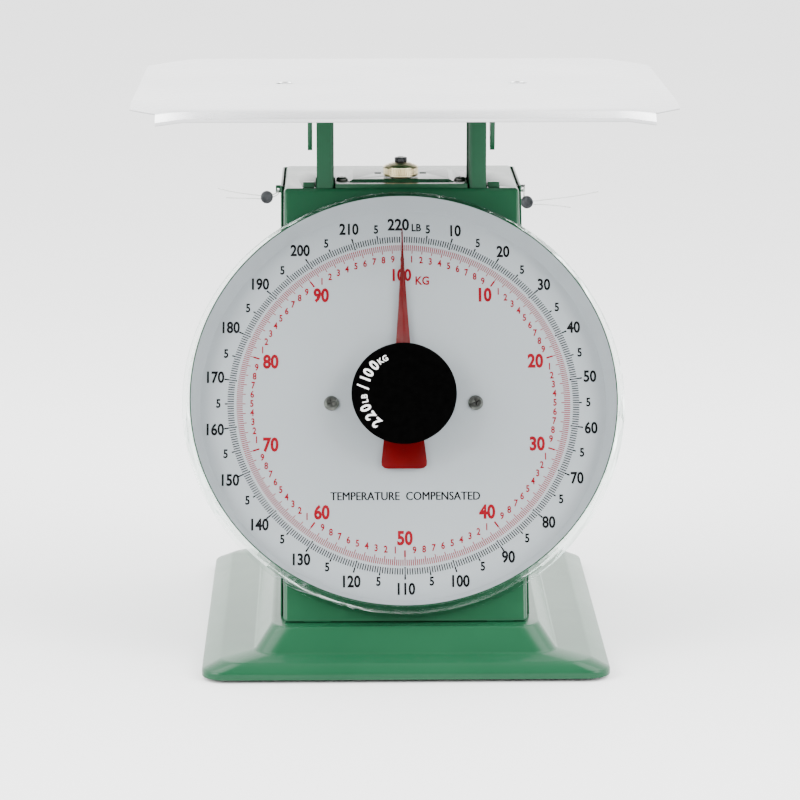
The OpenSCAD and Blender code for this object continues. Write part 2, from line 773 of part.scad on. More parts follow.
module crossbar_screws() {
  color(zinc) mirror_x() crossbar_screw_places() rotate([0, 90, 0])
    pan_screw(post_t, 3.4, 1.8, 1.85, 7);
}

module crossbar_pins() {
  color(steel) mirror_x() along_y(spring_x, mid_y - 12.5, mid_y + 12.5, bar_pin_z, pin_r);
}

module frame_shaft(z) {
  along_x(-post_x - 2.4, post_x + 2.4, link_front_y, z, shaft_r);
}

module upper_frame_shaft() {
  color(steel) frame_shaft(up_z + link_up);
}

module lower_frame_shaft() {
  color(steel) frame_shaft(low_z + link_up);
}

module clip(x, y, z) {
  translate([x, y, z]) rotate([0, 90, 0]) difference() {
    cylinder(h = 0.8, r = 4.4);
    translate([0, 0, -1]) cylinder(h = 4, r = shaft_r);
    translate([-1.6, 0, -1]) cube([3.2, 10, 4]);
  }
}

module frame_clips() {
  color(dark) for (z = [up_z + link_up, low_z + link_up]) mirror_x()
    clip(post_x + 0.4, link_front_y, z);
}

// Drive arm bolted under the crossbar, reaching forward to the rack foot.
module drive_arm() {
  x0 = foot_x0 - 6;
  zt = bar_z - 2;
  color(zinc) difference() {
    union() {
      block(x0 - 4, x0 + 14, mid_y - 9, mid_y + 9, zt - 2, zt);
      block(x0, x0 + 2, pin_y - 6, mid_y + 9, min(pin_z - 5, zt - 12), zt);
    }
    along_x(x0 - 5, x0 + 5, pin_y, pin_z, 1.5);
    for (x = [-1, 1]) translate([foot_x0 - 1 + x * 5, mid_y, zt - 10])
      cylinder(h = 20, r = 1.6);
  }
}

module drive_pin() {
  color(steel) {
    along_x(foot_x0 - 7.4, foot_x0 - 0.3, pin_y, pin_z, 1.5);
    for (x = [-1, 1]) translate([foot_x0 - 1 + x * 5, mid_y, bar_z])
      pan_screw(0, 2.8, 1.8, 1.55, 6);
  }
}

// ---------------------------------------------------------------- links
module link(z) {
  a = asin(link_up / link_s);
  ax0 = arm_x - 2.5;
  color(zinc) translate([0, link_rear_y, z]) rotate([-a, 0, 0]) difference() {
    union() {
      mirror_x() translate([ax0, 0, 0]) rotate([90, 0, 90]) linear_extrude(height = 2.5)
        difference() {
          hull() {
            circle(r = 6.5);
            translate([-link_s, 0]) circle(r = 6.5);
          }
          circle(r = shaft_r + 0.06);
          hull() {
            translate([-link_s - 0.5, 0]) circle(r = shaft_r + 0.25);
            translate([-link_s + 0.7, 0]) circle(r = shaft_r + 0.25);
          }
        }
      block(-ax0 - 0.5, ax0 + 0.5, -26, -10, -1.2, 1.2);
    }
  }
}

module upper_link() {
  link(up_z);
}

module lower_link() {
  link(low_z);
}

// Bracket on the rear cover side that holds both fixed shafts.
module link_bracket() {
  bx = arm_x + 0.8;
  color(green) difference() {
    union() {
      for (z = [up_z, low_z]) {
        mirror_x() block(bx, bx + 2, link_rear_y - 9, rear_y, z - 14, z + 14);
        block(-bx - 2, bx + 2, rear_y - 2, rear_y, z - 14, z + 14);
      }
      mirror_x() block(bx, bx + 2, rear_y - 6, rear_y, low_z, up_z);
    }
    for (z = [up_z, low_z]) along_x(-bx - 10, bx + 10, link_rear_y, z, shaft_r);
  }
}

module upper_housing_shaft() {
  color(steel) along_x(-arm_x - 5.2, arm_x + 5.2, link_rear_y, up_z, shaft_r);
}

module lower_housing_shaft() {
  color(steel) along_x(-arm_x - 5.2, arm_x + 5.2, link_rear_y, low_z, shaft_r);
}

module housing_clips() {
  color(dark) for (z = [up_z, low_z]) mirror_x() clip(arm_x + 3, link_rear_y, z);
}

// ---------------------------------------------------------------- seals
module seal_screw() {
  translate([cover_x, seal_y, seal_z]) rotate([0, 90, 0]) difference() {
    union() {
      translate([0, 0, -4]) cylinder(h = 4 + eps, r = 1.85);
      cylinder(h = 3.4, r = 2.4);
    }
    translate([0, 10, 1.9]) rotate([90, 0, 0]) cylinder(h = 20, r = 0.8);
  }
}

module seal_screw_right() {
  color(green) seal_screw();
}

module seal_screw_left() {
  color(green) mirror([1, 0, 0]) seal_screw();
}

// Squeezed lead seal hanging below its screw, with a gap for the thread.
seal_x = cover_x + 4.4;

// The left one stands further out and higher on its thread.
function seal_at(side) = side > 0 ? [seal_x, seal_z - 8] : [seal_x + 4.5, seal_z - 4.4];

module lead_seal(side) {
  translate([seal_at(side)[0], seal_y - 5, seal_at(side)[1]]) difference() {
    rotate([90, 0, 0]) cylinder(h = 3.2, r = 3.8, center = true);
    rotate([90, 0, 0]) translate([0, 0, 1.2]) cylinder(h = 2, r = 2.6);
    if (side > 0) block(-2.6, 1.4, -0.7, 0.8, -1.4, 5);
    else block(-5, 1.4, -0.7, 0.8, -1.4, 2.6);
    block(-2.6, 5, -0.9, 0.7, -1.5, 1.6);
  }
}

module lead_seal_right() {
  color([0.35, 0.36, 0.38]) lead_seal(1);
}

module lead_seal_left() {
  color([0.35, 0.36, 0.38]) mirror([1, 0, 0]) lead_seal(-1);
}

// Nylon thread as a chain of short rods through the given points.
module thread(pts) {
  color([0.90, 0.92, 0.90]) for (i = [0:len(pts) - 2]) hull() {
    translate(pts[i]) sphere(r = 0.28, $fn = 12);
    translate(pts[i + 1]) sphere(r = 0.28, $fn = 12);
  }
}

module tail(side, reach, rise, k) {
  lx = seal_at(side)[0];
  sx = lx + (k < 0 ? -0.5 : 0);
  sz = seal_at(side)[1];
  thread([[side * (cover_x + 1.9 + 0.4 * k), seal_y - 2.2, seal_z],
    [side * (cover_x + 2.6 + 0.4 * k), seal_y - 4.4, seal_z - 2.4 + 0.5 * k],
    [side * sx, seal_y - 5, sz + k],
    [side * (lx + reach * 0.35), seal_y - 6, sz + k + rise * 0.2],
    [side * (lx + reach * 0.7), seal_y - 7, sz + k + rise * 0.55],
    [side * (lx + reach), seal_y - 8, sz + k + rise]]);
}

module seal_wire_right_long() {
  tail(1, 44, 6, 0.9);
}

module seal_wire_right_short() {
  tail(1, 27, -2, -0.9);
}

module seal_wire_left_long() {
  tail(-1, 30, 5, 0.9);
}

module seal_wire_left_short() {
  tail(-1, 25, 1, -0.9);
}

// ---------------------------------------------------------------- output
base_pan();
rubber_feet();
body_shell();
rear_cover();
spring_bridge();
bridge_screws();
cover_screws();
base_screws();
overload_stops();
dial_plate();
dial_screws();
lens();
lens_gasket();
lens_label();
movement_front_plate();
movement_back_plate();
movement_pillars();
movement_studs();
movement_screws();
arbor_bushes();
rack_guide();
link_bracket();
upper_housing_shaft();
lower_housing_shaft();
housing_clips();
seal_screw_left();
seal_screw_right();
lead_seal_left();
lead_seal_right();
seal_wire_left_long();
seal_wire_left_short();
seal_wire_right_long();
seal_wire_right_short();
zero_stem();
zero_knob();
zero_lock_nut();
spring_yoke();
yoke_pins();
spring_left();
spring_right();
platform_tray();
tray_studs();
support_plate();
post_left();
post_right();
crossbar();
crossbar_screws();
crossbar_pins();
upper_frame_shaft();
lower_frame_shaft();
frame_clips();
drive_arm();
drive_pin();
rack();
rack_foot();
rack_rivets();
arbor();
pointer();
upper_link();
lower_link();
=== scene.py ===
import json
import math
import bmesh
import bpy
from mathutils import Matrix, Vector

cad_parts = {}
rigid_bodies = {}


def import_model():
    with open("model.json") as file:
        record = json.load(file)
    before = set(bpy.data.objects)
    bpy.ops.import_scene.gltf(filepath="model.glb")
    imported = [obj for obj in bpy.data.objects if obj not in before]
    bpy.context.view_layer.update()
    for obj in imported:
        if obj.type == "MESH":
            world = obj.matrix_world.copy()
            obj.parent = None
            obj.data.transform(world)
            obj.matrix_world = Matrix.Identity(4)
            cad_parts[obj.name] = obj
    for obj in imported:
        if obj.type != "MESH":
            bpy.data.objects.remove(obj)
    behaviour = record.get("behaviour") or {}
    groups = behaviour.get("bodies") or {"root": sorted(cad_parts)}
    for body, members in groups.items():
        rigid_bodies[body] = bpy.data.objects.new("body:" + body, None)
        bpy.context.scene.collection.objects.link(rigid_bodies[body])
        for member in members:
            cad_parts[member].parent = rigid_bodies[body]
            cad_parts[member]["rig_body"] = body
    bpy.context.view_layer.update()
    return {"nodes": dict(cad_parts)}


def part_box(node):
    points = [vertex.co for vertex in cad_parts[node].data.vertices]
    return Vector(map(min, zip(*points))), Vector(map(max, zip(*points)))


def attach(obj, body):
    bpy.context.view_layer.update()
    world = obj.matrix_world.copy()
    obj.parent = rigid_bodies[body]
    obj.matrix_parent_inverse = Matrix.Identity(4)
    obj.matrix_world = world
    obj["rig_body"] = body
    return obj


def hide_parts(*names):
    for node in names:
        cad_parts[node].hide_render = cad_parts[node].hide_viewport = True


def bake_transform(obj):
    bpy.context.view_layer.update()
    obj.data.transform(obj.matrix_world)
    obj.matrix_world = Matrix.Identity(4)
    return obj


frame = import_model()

nodes = frame["nodes"]


# ---------------------------------------------------------------- camera
# A long lens a little left of the middle looks down at the dial by about twelve degrees.
def rad(degrees):
    return math.radians(degrees)


eye = bpy.data.cameras.new("eye")
eye.lens = 157.5
eye.sensor_width = 36
eye.clip_end = 20
camera = bpy.data.objects.new("camera", eye)
bpy.context.scene.collection.objects.link(camera)
camera.location = (-0.0401, -2.1119, 0.5775)
LOOK_RIGHT, LOOK_DOWN = rad(1.06), rad(11.8)
look = Vector((
    math.sin(LOOK_RIGHT) * math.cos(LOOK_DOWN),
    math.cos(LOOK_RIGHT) * math.cos(LOOK_DOWN),
    -math.sin(LOOK_DOWN),
))
camera.rotation_euler = look.to_track_quat("-Z", "Y").to_euler()
bpy.context.scene.camera = camera


# ---------------------------------------------------------------- seal threads
# Thin stiff nylon thread: it starts in the drilled head of the seal screw, runs through
# the lead seal and its two tails stick out bare. Each tail is a piece of its own.
class Shade:
    """One value in a finish, so that sums are written as plain expressions."""

    def __init__(self, finish, socket):
        self.finish, self.socket = finish, socket

    def _math(self, operation, a, b=0.0):
        return self.finish.add("ShaderNodeMath", {"operation": operation}, {0: a, 1: b})

    def __add__(self, other):
        return self._math("ADD", self, other)

    def __sub__(self, other):
        return self._math("SUBTRACT", self, other)

    def __mul__(self, other):
        return self._math("MULTIPLY", self, other)

    def __rsub__(self, other):
        return self._math("SUBTRACT", other, self)

    __radd__ = __add__
    __rmul__ = __mul__


class Board:
    """A node tree. add() makes one node from its type, its settings and its sockets."""

    def __init__(self, owner):
        owner.use_nodes = True
        self.nodes = owner.node_tree.nodes
        self.links = owner.node_tree.links

    def add(self, kind, settings, sockets, out=0):
        made = self.nodes.new(kind)
        for key, value in settings.items():
            if key == "stops":
                ramp = made.color_ramp
                while len(ramp.elements) < len(value):
                    ramp.elements.new(0.5)
                for element, (position, colour) in zip(ramp.elements, value):
                    element.position, element.color = position, (*colour, 1)
            else:
                setattr(made, key, value)
        for key, value in sockets.items():
            if isinstance(value, Shade):
                self.links.new(value.socket, made.inputs[key])
            else:
                made.inputs[key].default_value = value
        return Shade(self, made.outputs[out])


class Finish(Board):
    """A material. Its name and constants are given at once, and feed() adds what varies."""

    def __init__(self, name, **constant):
        self.material = bpy.data.materials.new(name)
        super().__init__(self.material)
        self.shader = self.nodes["Principled BSDF"]
        for key, value in constant.items():
            self.shader.inputs[key.replace("_", " ")].default_value = value
        self.place = self.add("ShaderNodeTexCoord", {}, {}, "Object")

    def noise(self, scale, detail=3.0, stretch=None, place=None):
        place = place or self.place
        if stretch:
            place = self.add("ShaderNodeMapping", {}, {"Vector": place, "Scale": stretch})
        return self.add("ShaderNodeTexNoise", {}, {"Vector": place, "Scale": scale, "Detail": detail})

    def ramp(self, value, *stops):
        return self.add("ShaderNodeValToRGB", {"stops": stops}, {"Fac": value})

    def bump(self, height, strength, distance=0.0005):
        normal = self.add(
            "ShaderNodeBump", {}, {"Height": height, "Strength": strength, "Distance": distance})
        self.links.new(normal.socket, self.shader.inputs["Normal"])

    def feed(self, **values):
        for key, value in values.items():
            self.links.new(value.socket, self.shader.inputs[key.replace("_", " ")])


def only(*objects):
    bpy.ops.object.select_all(action="DESELECT")
    for o in objects:
        o.select_set(True)
    bpy.context.view_layer.objects.active = objects[0]


def settle(obj, name, body, slot, finish, *stands_for):
    """Bakes the object's place into its mesh, gives it name, finish and body."""
    only(obj)
    if obj.type == "MESH":
        bpy.ops.object.transform_apply(location=True, rotation=True, scale=True)
    obj.name = name
    obj.data.name = name
    obj.data.materials.clear()
    obj.data.materials.append(finish.material)
    if body:
        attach(obj, body)
    if stands_for:
        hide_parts(*stands_for)
    return obj


nylon = Finish("nylon thread", Roughness=0.25, IOR=1.53, Transmission_Weight=0.55)
nylon.feed(Base_Color=nylon.ramp(nylon.noise(900), (0.3, (0.80, 0.83, 0.80)), (0.7, (0.93, 0.95, 0.92))))

COVER_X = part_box("rear_cover")[1].x
SCREW_Y = (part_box("seal_screw_right")[0].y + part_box("seal_screw_right")[1].y) / 2
SCREW_Z = (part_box("seal_screw_right")[0].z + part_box("seal_screw_right")[1].z) / 2
SEAL_X = COVER_X + 0.0044


def thread_points(side, reach, rise, k):
    lx, sz = (SEAL_X, SCREW_Z - 0.0080) if side > 0 else (SEAL_X + 0.0045, SCREW_Z - 0.0044)
    sx = lx - (0.0005 if k < 0 else 0)
    return [
        Vector((side * (COVER_X + 0.0019 + 0.4 * k), SCREW_Y - 0.0022, SCREW_Z)),
        Vector((side * (COVER_X + 0.0026 + 0.4 * k), SCREW_Y - 0.0044, SCREW_Z - 0.0024 + 0.5 * k)),
        Vector((side * sx, SCREW_Y - 0.005, sz + k)),
        Vector((side * (lx + reach * 0.35), SCREW_Y - 0.006, sz + k + rise * 0.2)),
        Vector((side * (lx + reach * 0.7), SCREW_Y - 0.007, sz + k + rise * 0.55)),
        Vector((side * (lx + reach), SCREW_Y - 0.008, sz + k + rise)),
    ]


def spline_through(points, steps):
    """Points of a smooth line through the given points."""
    out = []
    ends = [points[0] * 2 - points[1], *points, points[-1] * 2 - points[-2]]
    for i in range(1, len(ends) - 2):
        a, b, c, d = ends[i - 1:i + 3]
        for s in range(steps):
            t = s / steps
            bend = 2 * a - 5 * b + 4 * c - d
            twist = 3 * b - a - 3 * c + d
            out.append(0.5 * (2 * b + (c - a) * t + bend * t * t + twist * t ** 3))
    return out + [points[-1].copy()]


for label, side, reach, rise, k in [
    ("seal_wire_right_long", 1, 0.044, 0.006, 0.0009),
    ("seal_wire_right_short", 1, 0.027, -0.002, -0.0009),
    ("seal_wire_left_long", -1, 0.030, 0.005, 0.0009),
    ("seal_wire_left_short", -1, 0.025, 0.001, -0.0009),
]:
    route = spline_through(thread_points(side, reach, rise, k), 5)
    curve = bpy.data.curves.new(label, "CURVE")
    curve.dimensions = "3D"
    curve.bevel_depth = 0.00028
    curve.bevel_resolution = 3
    curve.use_fill_caps = True
    line = curve.splines.new("POLY")
    line.points.add(len(route) - 1)
    for point, p in zip(line.points, route):
        point.co = (*p, 1)
    thread = bpy.data.objects.new(label, curve)
    bpy.context.scene.collection.objects.link(thread)
    settle(thread, "nylon_" + label, "housing", "nylon", nylon, label)
    length = sum((b - a).length for a, b in zip(route, route[1:]))


# ---------------------------------------------------------------- platform tray
# One thin stainless sheet, about 1.2 mm. The front and back edges are folded down, the
# four corners are cut off and pressed down a little, and two round holes take loose pans.
def in_edit(obj, mode="FACE"):
    only(obj)
    bpy.ops.object.mode_set(mode="EDIT")
    bpy.ops.mesh.select_mode(type=mode)
    bpy.ops.mesh.select_all(action="DESELECT")


def pick(obj, edges=None, faces=None, verts=None):
    """Selects edges, faces or corners whose place passes the test. Leaves edit mode on."""
    bpy.ops.mesh.select_all(action="DESELECT")
    work = bmesh.from_edit_mesh(obj.data)
    if verts:
        bpy.ops.mesh.select_mode(type="VERT")
        for v in work.verts:
            v.select_set(bool(verts(v.co)))
    if edges:
        bpy.ops.mesh.select_mode(type="EDGE")
        for e in work.edges:
            start, end = e.verts[0].co, e.verts[1].co
            e.select_set(bool(edges((start + end) / 2, (end - start).normalized())))
    if faces:
        bpy.ops.mesh.select_mode(type="FACE")
        for f in work.faces:
            f.select_set(bool(faces(f.calc_center_median(), f.normal)))
    work.select_flush_mode()
    bmesh.update_edit_mesh(obj.data)


def done_edit():
    bpy.ops.object.mode_set(mode="OBJECT")


def applied(obj, kind, **settings):
    """Adds a modifier and applies it."""
    only(obj)
    made = obj.modifiers.new(kind, kind)
    for key, value in settings.items():
        setattr(made, key, value)
    bpy.ops.object.modifier_apply(modifier=made.name)
    return obj


def smooth(obj, degrees=35):
    only(obj)
    bpy.ops.object.shade_smooth_by_angle(angle=rad(degrees))
    return obj


def carved(obj, cutter, operation="DIFFERENCE"):
    applied(obj, "BOOLEAN", operation=operation, solver="EXACT", object=cutter)
    bpy.data.objects.remove(cutter)
    return obj


def drum(radius, depth, place, axis="Z", sides=64):
    """A plain cylinder used as a cutter or as the start of a turned piece."""
    bpy.ops.object.select_all(action="DESELECT")
    turn = {"X": (0, rad(90), 0), "Y": (rad(90), 0, 0), "Z": (0, 0, 0)}[axis]
    bpy.ops.mesh.primitive_cylinder_add(
        vertices=sides, radius=radius, depth=depth, location=place, rotation=turn)
    return bpy.context.object


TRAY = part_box("platform_tray")
TRAY_W = TRAY[1].x
TRAY_Y = (TRAY[0].y + TRAY[1].y) / 2
TRAY_H = (TRAY[1].y - TRAY[0].y) / 2
TOP = TRAY[1].z
SHEET = 0.0012
LIP = 0.0060
HOLE_X = 0.0707
HOLE_R = 0.0059

bpy.ops.object.select_all(action="DESELECT")
bpy.ops.mesh.primitive_grid_add(x_subdivisions=40, y_subdivisions=24, size=2, location=(0, 0, 0))
tray = bpy.context.object
in_edit(tray)
bpy.ops.mesh.select_all(action="SELECT")
bpy.ops.transform.resize(value=(TRAY_W, TRAY_H - LIP, 1))
bpy.ops.transform.translate(value=(0, TRAY_Y, TOP))
for end in (-1, 1):
    pick(tray, edges=lambda p, d: (p.y - TRAY_Y) * end > TRAY_H - LIP - 1e-5)
    bpy.ops.mesh.extrude_region_move(TRANSFORM_OT_translate={"value": (0, end * 0.0022, -0.0009)})
    bpy.ops.mesh.extrude_region_move(TRANSFORM_OT_translate={"value": (0, end * 0.0038, -0.0034)})
    bpy.ops.mesh.extrude_region_move(TRANSFORM_OT_translate={"value": (0, 0, -0.0021)})
# cut off the corners along an upright plane
for sx in (-1, 1):
    for sy in (-1, 1):
        bpy.ops.mesh.select_all(action="SELECT")
        bpy.ops.mesh.bisect(
            plane_co=(sx * (TRAY_W - 0.0085), TRAY_Y + sy * (TRAY_H - 0.013), TOP),
            plane_no=(sx * 0.026, sy * 0.017, 0), clear_outer=True)
done_edit()
# press the corners down along a crease a little inside the cut
for v in tray.data.vertices:
    sx, sy = math.copysign(1, v.co.x), math.copysign(1, v.co.y - TRAY_Y)
    out = (sx * v.co.x - (TRAY_W - 0.030)) / 0.030 + (sy * (v.co.y - TRAY_Y) - (TRAY_H - 0.046)) / 0.046
    over = max(0.0, out - 0.95)
    v.co.z -= 0.0042 * min(over, 0.5)
for sx in (-1, 1):
    carved(tray, drum(HOLE_R, 0.02, (sx * HOLE_X, TRAY_Y, TOP)))
applied(tray, "SOLIDIFY", thickness=SHEET, offset=-1, use_even_offset=True)
applied(tray, "BEVEL", width=0.00035, segments=2, limit_method="ANGLE", angle_limit=rad(50))
smooth(tray, 30)

stainless = Finish("satin stainless", Metallic=1.0)
grain = stainless.noise(140, 4, (0.5, 16, 16))
cloud = stainless.noise(9, 2)
# painted shade: the upward part of the normal makes a mask for faces that point downward
normal = stainless.add("ShaderNodeNewGeometry", {}, {}, "Normal")
facing = stainless.add("ShaderNodeSeparateXYZ", {}, {"Vector": normal}, "Z")
under = stainless.add("ShaderNodeMapRange", {}, {"Value": facing, "From Min": -0.05, "From Max": -0.5})
bright = stainless.ramp(cloud, (0.35, (0.66, 0.665, 0.675)), (0.7, (0.74, 0.745, 0.75)))
# the second ramp is painted shade, a far darker copy of the same steel that the mask lays on the downward
# faces
darker = stainless.ramp(cloud, (0.35, (0.16, 0.165, 0.17)), (0.7, (0.22, 0.225, 0.23)))
steel_with_painted_shade = stainless.add("ShaderNodeMix", {"data_type": "RGBA"}, {0: under, 6: bright, 7: darker}, 2)
stainless.feed(Base_Color=steel_with_painted_shade, Roughness=grain * 0.14 + 0.22)
stainless.bump(grain, 0.10, 0.0002)
settle(tray, "tray_sheet", "platform", "tray_steel", stainless, "platform_tray")


# ---------------------------------------------------------------- support plate, posts and hooks
# A flat plate under the tray is bent down at its sides into two hook tabs, and carries two
# channel posts. All are pressed from 2 mm steel and dipped in the same green enamel.
def finished(node, name, slot, finish, bevel=0.0004, angle=32, segments=2):
    """A copy of a CAD node with its triangles merged into faces and its edges eased."""
    source = nodes[node]
    copy = bpy.data.objects.new(name, source.data.copy())
    bpy.context.scene.collection.objects.link(copy)
    only(copy)
    bpy.ops.object.mode_set(mode="EDIT")
    bpy.ops.mesh.select_all(action="SELECT")
    bpy.ops.mesh.remove_doubles(threshold=0.000004)
    bpy.ops.mesh.dissolve_limited(angle_limit=rad(1.2))
    bpy.ops.object.mode_set(mode="OBJECT")
    if bevel:
        applied(copy, "BEVEL", width=bevel, segments=segments, limit_method="ANGLE",
            angle_limit=rad(angle), use_clamp_overlap=True)
    smooth(copy, 40)
    body = source["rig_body"]
    return settle(copy, name, body, slot, finish, node)


def enamel(name, dark, light, gloss=0.22):
    """Smooth dipped enamel: a faint cloudiness, a little orange peel and a clear coat."""
    paint = Finish(name, Specular_IOR_Level=0.17, Coat_Roughness=0.08)
    cloud = paint.noise(14, 3)
    peel = paint.noise(420, 2)
    paint.feed(
        Base_Color=paint.ramp(cloud, (0.3, dark), (0.72, light)),
        Roughness=paint.noise(60, 3) * 0.06 + gloss,
        Coat_Weight=cloud * 0.06 + 0.01)
    paint.bump(peel, 0.02, 0.0002)
    return paint


green = enamel("green enamel", (0.0078, 0.058, 0.0255), (0.0096, 0.065, 0.0290))
finished("support_plate", "support_plate_pressed", "green_enamel", green, 0.0005)
finished("post_left", "post_left_pressed", "green_enamel", green, 0.0006, segments=3)
finished("post_right", "post_right_pressed", "green_enamel", green, 0.0006, segments=3)


# ---------------------------------------------------------------- housing shell
# Front, sides, floor and top are one folded green sheet, 1.2 mm thick. The front leans back
# with the dial; the top has slots for the posts, and tabs at the lower edge fix it to the base.
def wedge(half_x, top_y, foot_y, rear_y, low, high):
    """A box whose front leans from foot_y at the bottom to top_y at the top."""
    bpy.ops.object.select_all(action="DESELECT")
    bpy.ops.mesh.primitive_cube_add(size=2)
    made = bpy.context.object
    in_edit(made)
    bpy.ops.mesh.select_all(action="SELECT")
    bpy.ops.transform.resize(value=(half_x, (rear_y - top_y) / 2, (high - low) / 2))
    bpy.ops.transform.translate(value=(0, (rear_y + top_y) / 2, (high + low) / 2))
    pick(made, verts=lambda p: p.y < (rear_y + top_y) / 2 and p.z < (high + low) / 2)
    bpy.ops.transform.translate(value=(0, foot_y - top_y, 0))
    return made


def slab(x0, x1, y0, y1, z0, z1):
    """A plain box used as a cutter."""
    bpy.ops.object.select_all(action="DESELECT")
    middle = ((x0 + x1) / 2, (y0 + y1) / 2, (z0 + z1) / 2)
    bpy.ops.mesh.primitive_cube_add(size=1, location=middle, scale=(x1 - x0, y1 - y0, z1 - z0))
    return bpy.context.object


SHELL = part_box("body_shell")
HALF = SHELL[1].x
REAR = SHELL[1].y
FOOT = SHELL[0].y
FLOOR, ROOF = SHELL[0].z, SHELL[1].z
TILT = 28
LEAN = math.tan(rad(TILT))
BROW = FOOT + (ROOF - FLOOR) * LEAN
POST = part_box("post_right")
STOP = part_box("overload_stops")

shell = wedge(HALF, BROW, FOOT, REAR, FLOOR, ROOF)
pick(shell, faces=lambda p, n: n.y > 0.9)
bpy.ops.mesh.delete(type="FACE")
pick(shell, edges=lambda p, d: p.y < REAR - 0.001)
bpy.ops.mesh.bevel(offset=0.0026, segments=5, profile=0.5, affect="EDGES")
done_edit()
applied(shell, "SOLIDIFY", thickness=SHEET, offset=-1, use_even_offset=True)
for sx in (-1, 1):
    xs = sorted((sx * (POST[0].x - 0.0008), sx * (POST[1].x + 0.0008)))
    carved(shell, slab(*xs, POST[0].y - 0.0008, POST[1].y + 0.0008, ROOF - 0.004, ROOF + 0.004))
    xs = sorted((sx * (POST[1].x + 0.0006), sx * (STOP[1].x - HALF + SHEET + POST[1].x + 0.0088)))
    carved(shell, slab(*xs, STOP[0].y - 0.0002, STOP[1].y + 0.0002, ROOF - 0.004, ROOF + 0.004))
STEM_Y = (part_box("zero_knob")[0].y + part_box("zero_knob")[1].y) / 2
carved(shell, drum(0.009, 0.02, (0, STEM_Y, ROOF)))
# the lower front edge stands 1 mm clear of the base, except at two tabs
for x0, x1 in ((-HALF - 0.002, -0.0600), (-0.0440, 0.0480), (0.0640, HALF + 0.002)):
    carved(shell, slab(x0, x1, FOOT - 0.004, FOOT + 0.0045, FLOOR - 0.002, FLOOR + 0.0009))
applied(shell, "BEVEL", width=0.0003, segments=2, limit_method="ANGLE", angle_limit=rad(50))
smooth(shell, 32)
settle(shell, "housing_shell", "housing", "green_enamel", green, "body_shell")


# ---------------------------------------------------------------- rear cover
# A second green sheet closes the back and laps both sides of the shell with a small gap,
# so its front edges stand out as narrow stripes. Five slots near the floor let air in.
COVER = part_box("rear_cover")
cover = wedge(COVER[1].x, BROW + 0.016, COVER[0].y, COVER[1].y, COVER[0].z, COVER[1].z)
pick(cover, faces=lambda p, n: n.y < -0.3 or abs(n.z) > 0.9)
bpy.ops.mesh.delete(type="FACE")
pick(cover, edges=lambda p, d: p.y > COVER[1].y - 0.001 and abs(d.z) > 0.9)
bpy.ops.mesh.bevel(offset=0.0025, segments=5, profile=0.5, affect="EDGES")
done_edit()
applied(cover, "SOLIDIFY", thickness=SHEET, offset=-1, use_even_offset=True)
for i in range(-2, 3):
    x = i * 0.016
    carved(cover, slab(x - 0.004, x + 0.004, REAR - 0.004, REAR + 0.004, FLOOR + 0.024, FLOOR + 0.027))
applied(cover, "BEVEL", width=0.0004, segments=2, limit_method="ANGLE", angle_limit=rad(50))
smooth(cover, 32)
settle(cover, "rear_cover_folded", "housing", "green_enamel", green, "rear_cover")


# ---------------------------------------------------------------- base pan
# One deep pressing in 1.5 mm steel: an upright rim, a low slope, a wide, gently rising step
# and a steep slope up to the flat that carries the housing. All its bends are soft.
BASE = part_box("base_pan")
PAN_W, PAN_H = BASE[1].x, (BASE[1].y - BASE[0].y) / 2
PAN_Y = (BASE[1].y + BASE[0].y) / 2
LEVELS = [
    (PAN_W, PAN_H, 0.0060),
    (PAN_W - 0.0110, PAN_H - 0.0044, 0.0110),
    (HALF + 0.0171, (REAR - FOOT) / 2 + 0.01235, 0.0134),
    (HALF + 0.0071, (REAR - FOOT) / 2 + 0.00435, FLOOR),
]
bpy.ops.object.select_all(action="DESELECT")
bpy.ops.mesh.primitive_cube_add(size=2, location=(0, 0, 0.004))
pan = bpy.context.object
in_edit(pan)
bpy.ops.mesh.select_all(action="SELECT")
bpy.ops.transform.resize(value=(PAN_W, PAN_H, 0.002))
pick(pan, edges=lambda p, d: abs(d.z) > 0.9)
bpy.ops.mesh.bevel(offset=0.014, segments=9, profile=0.5, affect="EDGES")
pick(pan, faces=lambda p, n: n.z > 0.9)
for (w0, h0, z0), (w1, h1, z1) in zip(LEVELS, LEVELS[1:]):
    bpy.ops.mesh.extrude_region_move(TRANSFORM_OT_translate={"value": (0, 0, z1 - z0)})
    # keep the corners round: shift each quarter inwards and do not scale it
    work = bmesh.from_edit_mesh(pan.data)
    for v in {v for f in work.faces if f.select for v in f.verts}:
        v.co.x -= math.copysign(w0 - w1, v.co.x)
        v.co.y -= math.copysign(h0 - h1, v.co.y)
    bmesh.update_edit_mesh(pan.data)
pick(pan, faces=lambda p, n: n.z < -0.9)
bpy.ops.mesh.delete(type="FACE")
bpy.ops.mesh.select_all(action="SELECT")
bpy.ops.transform.translate(value=(0, PAN_Y, 0))
done_edit()
applied(pan, "BEVEL", width=0.0012, segments=3, limit_method="ANGLE", angle_limit=rad(14),
    use_clamp_overlap=True)
applied(pan, "SOLIDIFY", thickness=0.0015, offset=-1, use_even_offset=True)
smooth(pan, 50)
settle(pan, "base_pressing", "housing", "green_enamel", green, "base_pan")


# ---------------------------------------------------------------- rubber feet
# Four moulded black rubber feet stand inside the rim of the base. The underside of each has
# a blind round recess.
rubber = Finish("black rubber", Roughness=0.75)
rubber.feed(Base_Color=rubber.ramp(
    rubber.noise(160, 3), (0.3, (0.012, 0.012, 0.013)), (0.8, (0.030, 0.030, 0.031))))
rubber.bump(rubber.noise(700, 2), 0.15, 0.0003)
finished("rubber_feet", "rubber_feet_moulded", "rubber", rubber, 0.0008, segments=3)


